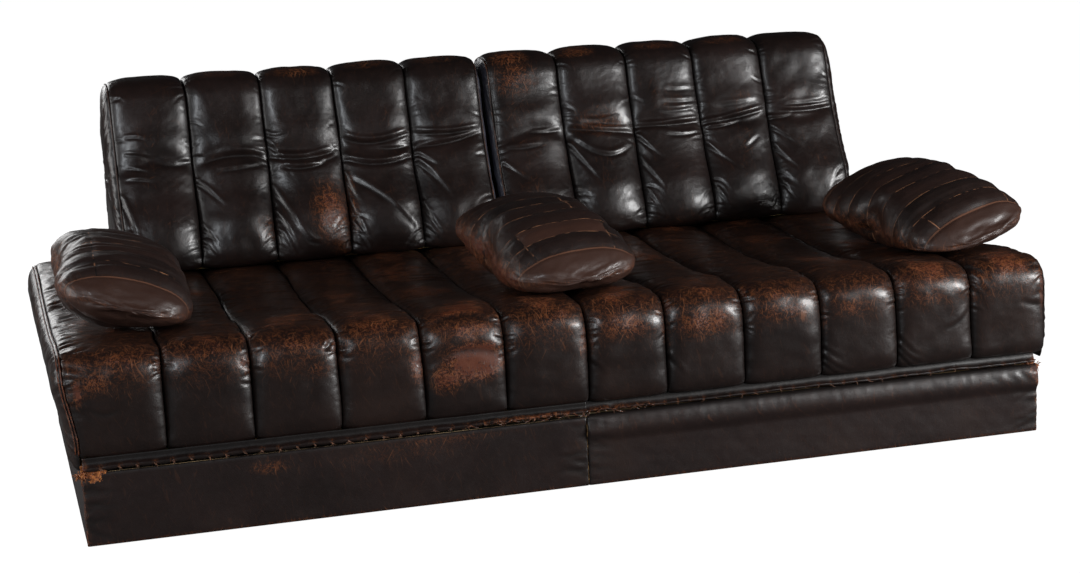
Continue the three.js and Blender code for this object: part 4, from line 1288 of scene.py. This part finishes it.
for side in ("left", "right"):
    low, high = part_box(f"back_{side}_foam")
    foam_block(f"back_foam_core_{side}", steady_outline(back_inset(0.055, back_bottom + 0.001)),
               low.x, high.x, f"back_{side}_foam")
    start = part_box(f"back_{side}_channel_1")[0].x - 0.00015
    for number in range(1, 6):
        rng = np.random.default_rng((200 if side == "left" else 300) + number)
        seed = 60 if side == "left" else 80
        left = seam_path(number - 1, back_runs, 0.0014, seed) * (number > 1) + 0.0004
        right = (channel_pitch + seam_path(number, back_runs, 0.0014, seed) * (number < 5)
                 - 0.0004)
        across, along, t = channel_grid(back_runs, left, right, 53)
        share = np.interp(back_runs, [run_at(v) for v in np.linspace(0, 1, 40)],
                          np.linspace(0, 1, 40))
        # A full belly below, a waist where the fold lines run, and a flatter top.
        sunk = np.interp(share, [0, 0.06, 0.25, 0.42, 0.56, 0.7, 0.9, 1.0],
                         [0.005, 0.022, 0.034, 0.027, 0.018, 0.02, 0.019, 0.017])
        sunk = sunk * rng.uniform(0.95, 1.06)
        fullness = np.interp(share, [0, 0.3, 0.55, 0.8, 1.0], [2.0, 1.95, 2.0, 2.3, 2.8])
        relief = crowned(t, sunk, fullness, 0.012, 3.2, number == 1, number == 5)
        crease = np.zeros_like(relief)
        v = np.broadcast_to(share[:, None], relief.shape)
        u = 2 * t[None, :] - 1
        settle = np.clip(along / 0.04, 0, 1)
        relief += settle * (ripple(rng, across, along, 0.22, 0.002)
                            + ripple(rng, across, along, 0.07, 0.0006)
                            + ripple(rng, across, along, 0.022, 0.00012))
        waist = 0.565 + 0.02 * np.sin(3 * u + number)
        relief -= 0.0055 * np.exp(-((v - waist) / 0.035) ** 2) * (1 - u ** 2 * 0.3)
        relief += 0.0035 * np.exp(-((v - 0.68) / 0.06) ** 2) * (1 - u ** 2)
        relief += 0.003 * np.exp(-((v - 0.28) / 0.14) ** 2 - ((u - 0.25) / 0.6) ** 2)
        for points, width, depth, held in back_folds[side][number - 1]:
            press_fold(relief, crease, across, along,
                       [(a * channel_pitch, run_at(height)) for a, height in points],
                       width * 0.0007, depth * 0.00088, held=held)
        # Crow's feet fan out of the seams where the belly tucks under.
        for seam, inward in ((left, 1), (right, -1)):
            for _ in range(4):
                height = rng.uniform(0.05, 0.28)
                foot = run_at(height)
                base = float(np.interp(foot, back_runs, seam))
                reach = rng.uniform(0.022, 0.05)
                drop = rng.uniform(0.012, 0.05)
                press_fold(relief, crease, across, along,
                           [(base, foot), (base + inward * 0.6 * reach, foot - 0.3 * drop),
                            (base + inward * reach, max(foot - drop, 0.004))],
                           rng.uniform(0.0028, 0.0038), rng.uniform(0.0008, 0.0024),
                           lip=0.15)
            pucker(rng, relief, crease, across, along, seam,
                   [(0.0, run_at(0.45), 0.2), (run_at(0.45), run_at(0.66), 0.8),
                    (run_at(0.66), run_at(0.88), 0.25), (run_at(0.88), back_length, 0.8)],
                   0.023, 0.028, 0.0021, 0.0032)
        rub = 0.05 + 0.05 * rng.uniform() + 0 * relief
        rub += 0.06 * np.clip(relief / 0.0015, 0, 1)
        for cushion, channel, a, height, wide, long, strength in back_wear:
            if (cushion, channel) == (side, number):
                rub = np.maximum(rub, strength * spot(across / channel_pitch, v, a, height,
                                                      wide, long))
        # Painted shade darkens the seams and the leather beside them.
        crease = seam_painted_shade(t, 0.75 * crease, 0.004, 0.012)
        points, faces = channel_mesh(across, relief, back_places, back_normals,
                                     start + (number - 1) * channel_pitch, back_wadding)
        points[:, 2] = np.maximum(points[:, 2], back_bottom)
        points[:, 1] = np.minimum(points[:, 1], back_rear)
        piece = make_piece(f"back_tube_{side}_{number}", points, faces, back_leather,
                           [f"back_{side}_channel_{number}"],
                           {"rub": ring_mark(rub), "crease": ring_mark(crease)})

    # Gussets close the ends, piped along the front and over the crest. The inner ones are painted a
    # paler cool slate, a painted reflection of the light that reaches the gap between the cushions,
    # and hang in long pleats.
    for end, sign in (("left", -1), ("right", 1)):
        outer_end = side == end
        low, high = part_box(f"back_{side}_gusset_{end}")
        seam_x = high.x if sign < 0 else low.x
        rng = np.random.default_rng(401 + 2 * (side == "right") + (end == "right"))
        outline = back_inset(0.012, back_bottom + 0.0005)
        points, faces, marks = end_panel(
            outline[::-1], seam_x, 0.019 if outer_end else 0.0085, sign, rng,
            0.018, 0.05 if outer_end else 0.025, 0.0026 if outer_end else 0.0030,
            0.0 if outer_end else 4.0 * sign)
        gusset = make_piece(f"back_end_{side}_{end}", points, faces,
                            back_leather if outer_end else gap_reflection_leather,
                            [f"back_{side}_gusset_{end}"], marks)
        places, normals, _ = line_at(back_line, np.arange(0.012, back_length - 0.012, 0.005))
        welt = places - normals * 0.0118
        path = np.column_stack([np.full(len(welt), seam_x + sign * 0.001), welt])
        points, faces = tube(path, 0.0016, 8)
        make_piece(f"back_piping_{side}_{end}", points, faces, piping_leather,
                   (), {"rub": np.full(len(points), 0.14 if outer_end else 0.24)})

    # The rear panel is one flat piece of hide over thin wadding, slack between its seams.
    low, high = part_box(f"back_{side}_rear_panel")
    x = np.linspace(high.x, low.x, 100)
    z = np.linspace(low.z, high.z, 44)
    xs, zs = np.meshgrid(x, z)
    rng = np.random.default_rng(501 + (side == "right"))
    edge = np.minimum.reduce([xs - low.x, high.x - xs, zs - low.z, high.z - zs])
    puff = (1 - (1 - np.clip(edge / 0.05, 0, 1)) ** 2) ** 0.5
    relief = ripple(rng, xs, zs, 0.18, 0.0012) + ripple(rng, xs, zs, 0.05, 0.0003)
    crease = np.zeros_like(relief)
    for _ in range(34):
        side_edge = rng.integers(4)
        reach = rng.uniform(0.025, 0.09)
        if side_edge < 2:
            foot = (low.x if side_edge else high.x, rng.uniform(low.z, high.z))
            tip = (foot[0] + (reach if side_edge else -reach),
                   foot[1] + rng.uniform(-0.03, 0.03))
        else:
            foot = (rng.uniform(low.x, high.x), low.z if side_edge == 2 else high.z)
            tip = (foot[0] + rng.uniform(-0.03, 0.03),
                   foot[1] + (reach if side_edge == 2 else -reach))
        press_fold(relief, crease, xs, zs, [foot, tip], 0.0045, rng.uniform(0.0008, 0.0025))
    outer = np.stack([xs, low.y + 0.0005 + 0.0095 * puff + relief * puff, zs], axis=-1)
    inner = np.stack([xs, low.y + 0 * xs, zs], axis=-1)
    points, faces = skin(outer, inner)
    rub = 0.12 + 0.35 * np.exp(-(edge / 0.008) ** 2)
    panel = make_piece(f"back_rear_{side}", points, faces, back_leather,
                       [f"back_{side}_rear_panel"], both_sides(rub=rub, crease=crease))

# ---- Patchwork pillows ----
# Three loose pillows of leather offcuts: seven strips sewn across a tube, closed at the front
# and rear by oval panels, and stuffed with feathers. They lie on the seat, pressed flat below.


def pillow_form(width, length, thickness):
    """A grid of points for a pillow before it is stuffed, one ring round it after another from
    the front, with each ring's place along it: -1 to 1 on the strips, and beyond that on the
    oval panels. The tube's section is a lens."""
    angle = np.linspace(0, 2 * math.pi, 72, endpoint=False)
    lens_x = np.sign(np.cos(angle)) * np.abs(np.cos(angle)) ** 0.85
    lens_z = np.sign(np.sin(angle)) * np.abs(np.sin(angle)) ** 1.12
    beyond = np.linspace(0.1, 0.9, 10)
    places = np.concatenate([-2 + beyond, np.linspace(-1, 1, 46), 2 - beyond[::-1]])
    rings = []
    for place in places:
        end = min(abs(place), 1)
        share = min(2 - abs(place), 1)
        out = 0.05 * (1 - share ** 2) ** 0.6
        rings.append(np.column_stack([
            lens_x * width / 2 * (1 - 0.1 * end ** 4) * (0.25 + 0.75 * share),
            np.full(len(angle), np.sign(place) * (end * length / 2 + out)),
            lens_z * thickness / 2 * math.sqrt(1 - 0.56 * end ** 3.2) * share]))
    return np.array(rings), places, angle


def stuffed(rings, faces, cap):
    """The rings after the pillow is blown up like a stuffed cover in a cloth simulation, no
    point moving more than cap. It starts a little small, and gravity is left out."""
    points = rings.reshape(-1, 3)
    mesh = bpy.data.meshes.new("pillow_form")
    mesh.from_pydata(points.tolist(), [], faces)
    form = bpy.data.objects.new("pillow_form", mesh)
    bpy.context.scene.collection.objects.link(form)
    cloth = form.modifiers.new("stuffing", "CLOTH")
    cloth.settings.quality = 6
    cloth.settings.mass = 0.35
    cloth.settings.tension_stiffness = 22
    cloth.settings.compression_stiffness = 22
    cloth.settings.shear_stiffness = 8
    cloth.settings.bending_stiffness = 0.6
    cloth.settings.use_pressure = True
    cloth.settings.uniform_pressure_force = 4
    cloth.settings.effector_weights.gravity = 0
    cloth.settings.shrink_min = -0.045
    cloth.collision_settings.use_self_collision = False
    for step in range(1, 19):
        bpy.context.scene.frame_set(step)
    shape = form.evaluated_get(bpy.context.evaluated_depsgraph_get())
    blown = np.array([vertex.co for vertex in shape.data.vertices])
    bpy.data.objects.remove(form)
    bpy.data.meshes.remove(mesh)
    bpy.context.scene.frame_set(1)
    moved = blown - points
    size = np.linalg.norm(moved, axis=1)[:, None]
    return (points + moved * np.minimum(1, cap / np.maximum(size, 1e-9))).reshape(rings.shape)


def patchwork(name, dyes, strips, thread_wear, seams, patches):
    """Worn leather in strips, each its own shade. A tan thread line shows at each join of the
    strip mark, and at each cross seam: its first strip, its last and its place on the turn
    mark. patches are paler: first strip, last strip, turn from, turn to, and colour."""
    material = worn_leather(name, dyes, 0.5, 1.5, 0.42)
    tree = material.node_tree
    shader = next(node for node in tree.nodes if node.type == "BSDF_PRINCIPLED")
    colour = shader.inputs["Base Color"].links[0].from_socket
    along, turn = (add_node(tree, "Attribute", attribute_name=mark).outputs["Fac"]
                   for mark in ("strip", "turn"))
    number = add_node(tree, "Math", {0: along}, operation="FLOOR")
    shade = add_node(tree, "TexWhiteNoise", {"W": number}, noise_dimensions="1D")
    shade = add_node(tree, "Math", {0: shade.outputs["Value"], 1: 0.3}, operation="MULTIPLY")
    colour = add_node(tree, "Mix", {0: shade, 6: colour, 7: "#3a241d"}, data_type="RGBA")
    for first, last, turn_from, turn_to, patch in patches:
        sides = add_node(tree, "Math", {
            0: turn, 1: (turn_from + turn_to) / 2, 2: (turn_to - turn_from) / 2},
            operation="COMPARE")
        ends = add_node(tree, "Math", {
            0: along, 1: (first + last) / 2, 2: (last - first) / 2}, operation="COMPARE")
        inside = add_node(tree, "Math", {0: sides, 1: ends}, operation="MULTIPLY")
        inside = add_node(tree, "Math", {0: inside, 1: 0.75}, operation="MULTIPLY")
        colour = add_node(tree, "Mix", {0: inside, 6: colour, 7: patch}, data_type="RGBA")
    # Thread about 1 mm thick is drawn 2 mm wide so that it shows.
    joins = add_node(tree, "Math", {0: along, 1: 0.5}, operation="PINGPONG")
    joins = add_node(tree, "Math", {0: joins, 1: 0.0, 2: 0.017}, operation="COMPARE")
    within = add_node(tree, "Math", {0: along, 1: strips / 2, 2: strips / 2 + 0.05},
                      operation="COMPARE")
    lines = add_node(tree, "Math", {0: joins, 1: within}, operation="MULTIPLY")
    for first, last, place in seams:
        across = add_node(tree, "Math", {0: turn, 1: place, 2: 0.0017}, operation="COMPARE")
        within = add_node(tree, "Math", {
            0: along, 1: (first + last) / 2, 2: (last - first) / 2}, operation="COMPARE")
        across = add_node(tree, "Math", {0: across, 1: within}, operation="MULTIPLY")
        lines = add_node(tree, "Math", {0: lines, 1: across}, operation="MAXIMUM")
    thread = add_node(tree, "TexNoise", {
        "Vector": add_node(tree, "TexCoord").outputs["Object"], "Scale": 45.0,
        "Detail": 3.0})
    thread = add_node(tree, "ValToRGB", {"Fac": thread},
                      stops=[(thread_wear - 0.06, "#0d0807"), (thread_wear, "#573a2b"),
                             (thread_wear + 0.1, "#94674a")])
    colour = add_node(tree, "Mix", {0: lines, 6: colour, 7: thread}, data_type="RGBA")
    for end in (0.0, float(strips)):
        rim = add_node(tree, "Math", {0: along, 1: end, 2: 0.04}, operation="COMPARE")
        colour = add_node(tree, "Mix", {0: rim, 6: colour, 7: "#6e4a38"}, data_type="RGBA")
    finish_shader(shader, {"Base Color": colour})
    return material


strips = 7
rest_line = smooth_line(seat_corners(0.375))
rest_line = rest_line[(rest_line[:, 0] > -0.4999) & (rest_line[:, 0] < 0.3)]
rest_order = np.argsort(rest_line[:, 0])
# Each pillow: centre, tilts in degrees, size, dyes, where its thread is bare, its cross seams
# and patches, and how pale its panels are.
pillows = [
    ("left", (-0.868, -0.172, 0.447), (-0.9, 4.0, 17.0), (0.29, 0.44, 0.158),
     ("#1c1210", "#241815", "#2e201b"), 0.56, [(0, 7, 0.42)], [], 0.75),
    ("middle", (-0.006, -0.212, 0.447), (6.5, 9.5, -3.0), (0.305, 0.44, 0.152),
     ("#120b0a", "#180f0d", "#211512"), 0.5, [(0, 2, 0.60), (0, 2, 0.40), (3, 5, 0.55)],
     [(1, 2, 0.40, 0.60, "#4a2f25")], 0.95),
    ("right", (0.855, -0.178, 0.443), (14.0, 8.0, -13.5), (0.31, 0.44, 0.145),
     ("#140c0b", "#1b110e", "#251713"), 0.47, [(0, 1, 0.63), (0, 1, 0.40), (2, 5, 0.66)],
     [(4, 5, 0.4, 0.99, "#33201a")], 0.7),
]
for (side, centre, (yaw, pitch, roll), (width, length, thickness), dyes, thread_wear, seams,
     patches, panel_tone) in pillows:
    rng = np.random.default_rng({"left": 601, "middle": 602, "right": 603}[side])
    rings, places, angle = pillow_form(width - 0.02, length - 0.09, thickness - 0.025)
    faces = [face[::-1] for face in grid_faces(len(rings), len(angle), closed=True)]
    last = (len(rings) - 1) * len(angle)
    faces += [list(range(len(angle))), [last + i for i in range(len(angle))][::-1]]
    rings = stuffed(rings, faces, 0.026)
    # The feathers fill the panels smoothly, so the simulation's small creases are eased there.
    ease = np.where(np.abs(places) > 1.01, 0.9, 0.12)[:, None, None]
    for _ in range(7):
        mean = (np.roll(rings, 1, axis=1) + np.roll(rings, -1, axis=1)) / 4
        mean[1:-1] += (rings[:-2] + rings[2:]) / 4
        mean[[0, -1]] *= 2
        rings = rings + ease * (mean - rings)

    # Subdivided once, with the place along it and round it carried to the new points.
    mesh = bpy.data.meshes.new("blank")
    mesh.from_pydata(rings.reshape(-1, 3).tolist(), [], faces)
    carried = {"place": np.repeat(places, len(angle)),
               "angle_x": np.tile(np.cos(angle), len(rings)),
               "angle_z": np.tile(np.sin(angle), len(rings))}
    for mark, values in carried.items():
        mesh.attributes.new(mark, "FLOAT", "POINT").data.foreach_set(
            "value", values.astype(np.float32))
    blank = bpy.data.objects.new("blank", mesh)
    bpy.context.scene.collection.objects.link(blank)
    divide = blank.modifiers.new("divide", "SUBSURF")
    divide.levels = divide.render_levels = 1
    fine = bpy.data.meshes.new_from_object(
        blank.evaluated_get(bpy.context.evaluated_depsgraph_get()))
    bpy.data.objects.remove(blank)
    count = len(fine.vertices)
    co, normal = np.zeros(count * 3), np.zeros(count * 3)
    fine.vertices.foreach_get("co", co)
    fine.vertices.foreach_get("normal", normal)
    co, normal = co.reshape(-1, 3), normal.reshape(-1, 3)
    for mark in carried:
        values = np.zeros(count, np.float32)
        fine.attributes[mark].data.foreach_get("value", values)
        carried[mark] = values
        fine.attributes.remove(fine.attributes[mark])

    # turn runs from 0 under the pillow, up its left side, over the top at a half and down its
    # right side. The strips bow a little towards the front over the top.
    place = carried["place"]
    turn = (-math.pi / 2 - np.arctan2(carried["angle_z"], carried["angle_x"])) / (2 * math.pi)
    turn = turn % 1.0
    on_body = np.abs(place) < 1
    strip = (place + 1) / 2 * strips
    strip += 0.10 * np.sin(2 * math.pi * turn) * np.sin(strip * 0.9) * on_body
    to_join = np.abs(strip - np.round(strip)) * length / strips
    joins = np.exp(-(to_join / 0.0032) ** 2) * (np.abs(place) < 1.03)
    rim = np.exp(-((1 - np.abs(place)) * length / 2 / 0.007) ** 2)
    across = np.zeros(count)
    for first, last, at in seams:
        across = np.maximum(across, np.exp(-((turn - at) * 2.1 * width / 0.0035) ** 2)
                            * (strip > first) * (strip < last))
    seam = np.maximum(joins, across)
    relief = -0.0013 * seam - 0.0022 * rim
    relief -= 0.0014 * np.cos(2 * math.pi * strip) * on_body
    run = turn * 2.1 * width
    relief += ripple(rng, run, place * length / 2, 0.09, 0.0012)
    relief += ripple(rng, run, place * length / 2, 0.03, 0.0004)
    # Pleats pull away from each rim, and stand along the strips on the slack left side.
    pleats = np.zeros(count)
    for _ in range(60):
        at, size, end = rng.uniform(0, 1), rng.uniform(0.2, 1) ** 2, rng.choice([-1, 1])
        near = np.exp(-((1 - end * place) * length / 2 / 0.022) ** 2) * (end * place < 1)
        pleats -= 0.0018 * size * near * np.exp(-((turn - at) * 2.1 * width / 0.0036) ** 2)
    slack = 1.0 if side == "left" else 0.35
    for _ in range(30):
        at, size = rng.uniform(0.4, 6.8), rng.uniform(0.3, 1)
        middle, half = rng.uniform(0.3, 0.58), rng.uniform(0.05, 0.14)
        pleats -= (0.0022 * slack * size * np.exp(-((strip - at) * length / strips / 0.0035) ** 2)
                   * np.exp(-((turn - middle) / half) ** 4) * on_body)
    co = co + normal * (relief + pleats)[:, None]
    tilt = (Matrix.Rotation(math.radians(yaw), 3, "Z")
            @ Matrix.Rotation(math.radians(pitch), 3, "X")
            @ Matrix.Rotation(math.radians(roll), 3, "Y"))
    co = co @ np.array(tilt).T + np.array(centre)
    ground = np.interp(co[:, 1], rest_line[rest_order, 0], rest_line[rest_order, 1]) + 0.0025
    sink = ground - co[:, 2]
    co[:, 2] = np.where(sink > -0.012, ground + 0.012 * np.exp(-(sink + 0.012) / 0.012),
                        co[:, 2])

    tone = np.where(on_body, 0, panel_tone)
    rub = 0.1 + 0.04 * seam + 0.1 * rim
    rub += (0.42 if side == "middle" else 0.16) * np.exp(-((turn - 0.22) / 0.1) ** 2) * on_body
    rub += 0.22 * np.exp(-((turn - 0.25) / 0.06) ** 2) + 0.22 * np.exp(-((turn - 0.75) / 0.05) ** 2)
    fine.vertices.foreach_set("co", co.ravel())
    fine.polygons.foreach_set("use_smooth", np.ones(len(fine.polygons), bool))
    # The crease mark paints shade into the seams, the rims and the pleat hollows.
    for mark, values in (("rub", rub), ("tone", tone), ("strip", strip), ("turn", turn),
                         ("crease", 0.55 * np.maximum(rim, seam) ** 3 + 160 * np.clip(
                             -pleats - 0.0006, 0, 0.004))):
        fine.attributes.new(mark, "FLOAT", "POINT").data.foreach_set(
            "value", values.astype(np.float32))
    fine.name = f"patchwork_pillow_{side}"
    fine.materials.append(patchwork(f"patchwork_cowhide_{side}", dyes, strips, thread_wear,
                                    seams, patches))
    piece = bpy.data.objects.new(f"patchwork_pillow_{side}", fine)
    bpy.context.scene.collection.objects.link(piece)
    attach(piece, "root")
    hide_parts(f"pillow_{side}")

# ---- Studio ----
# A white paper floor, a large soft box on the left and a weaker one behind it, a tall strip
# beside the camera, and a bright box low and a faint one high on the right. Nothing shines
# from straight above, so the tops stay dark.

floor_mesh = bpy.data.meshes.new("floor")
floor_mesh.from_pydata([(-60, -60, 0), (60, -60, 0), (60, 60, 0), (-60, 60, 0)], [],
                       [(0, 1, 2, 3)])
floor = bpy.data.objects.new("floor", floor_mesh)
bpy.context.scene.collection.objects.link(floor)
paper, tree, shader = new_material("matt_white_paper", {
    "Base Color": "#666666", "Roughness": 0.95, "Emission Color": "#ffffff"})
seen = add_node(tree, "LightPath").outputs["Is Camera Ray"]
tree.links.new(seen, shader.inputs["Emission Strength"])
floor_mesh.materials.append(paper)


def soft_box(name, place, aim, width, height, power, tint=(1, 1, 1)):
    """A rectangular soft box at a place, turned towards a point."""
    light = bpy.data.lights.new(name, "AREA")
    light.shape = "RECTANGLE"
    light.size, light.size_y = width, height
    light.energy = power
    light.color = tint
    box = bpy.data.objects.new(name, light)
    box.location = place
    box.rotation_euler = (Vector(aim) - Vector(place)).to_track_quat("-Z", "Y").to_euler()
    box.visible_camera = False
    bpy.context.scene.collection.objects.link(box)


soft_box("left_soft_box", (-4.2, -0.2, 1.3), (-0.5, 0, 0.4), 2.2, 2.0, 68)
soft_box("rear_left_soft_box", (-2.1, 3.6, 1.7), (-0.9, 0, 0.4), 1.8, 1.5, 46)
soft_box("front_strip", (-3.2, -4.4, 2.6), (0, 0.2, 0.6), 0.6, 1.8, 78, (0.9, 0.95, 1))
soft_box("right_soft_box", (3.9, -3.15, 1.45), (0, 0, 0.45), 1.4, 1.1, 205)
soft_box("right_high_box", (2.5, -4.3, 2.6), (0.4, 0, 0.4), 1.9, 1.3, 10)

world = bpy.data.worlds.new("studio")
bpy.context.scene.world = world
world.use_nodes = True
tree = world.node_tree
tree.nodes.clear()
seen = add_node(tree, "LightPath").outputs["Is Camera Ray"]
surround = add_node(tree, "Mix", {0: seen, 6: "#1c1c1e", 7: "#ffffff"},
                    data_type="RGBA").outputs[2]
backdrop = add_node(tree, "Background", {"Color": surround})
add_node(tree, "OutputWorld", {"Surface": backdrop.outputs[0]})
bpy.context.scene.view_settings.view_transform = "Standard"
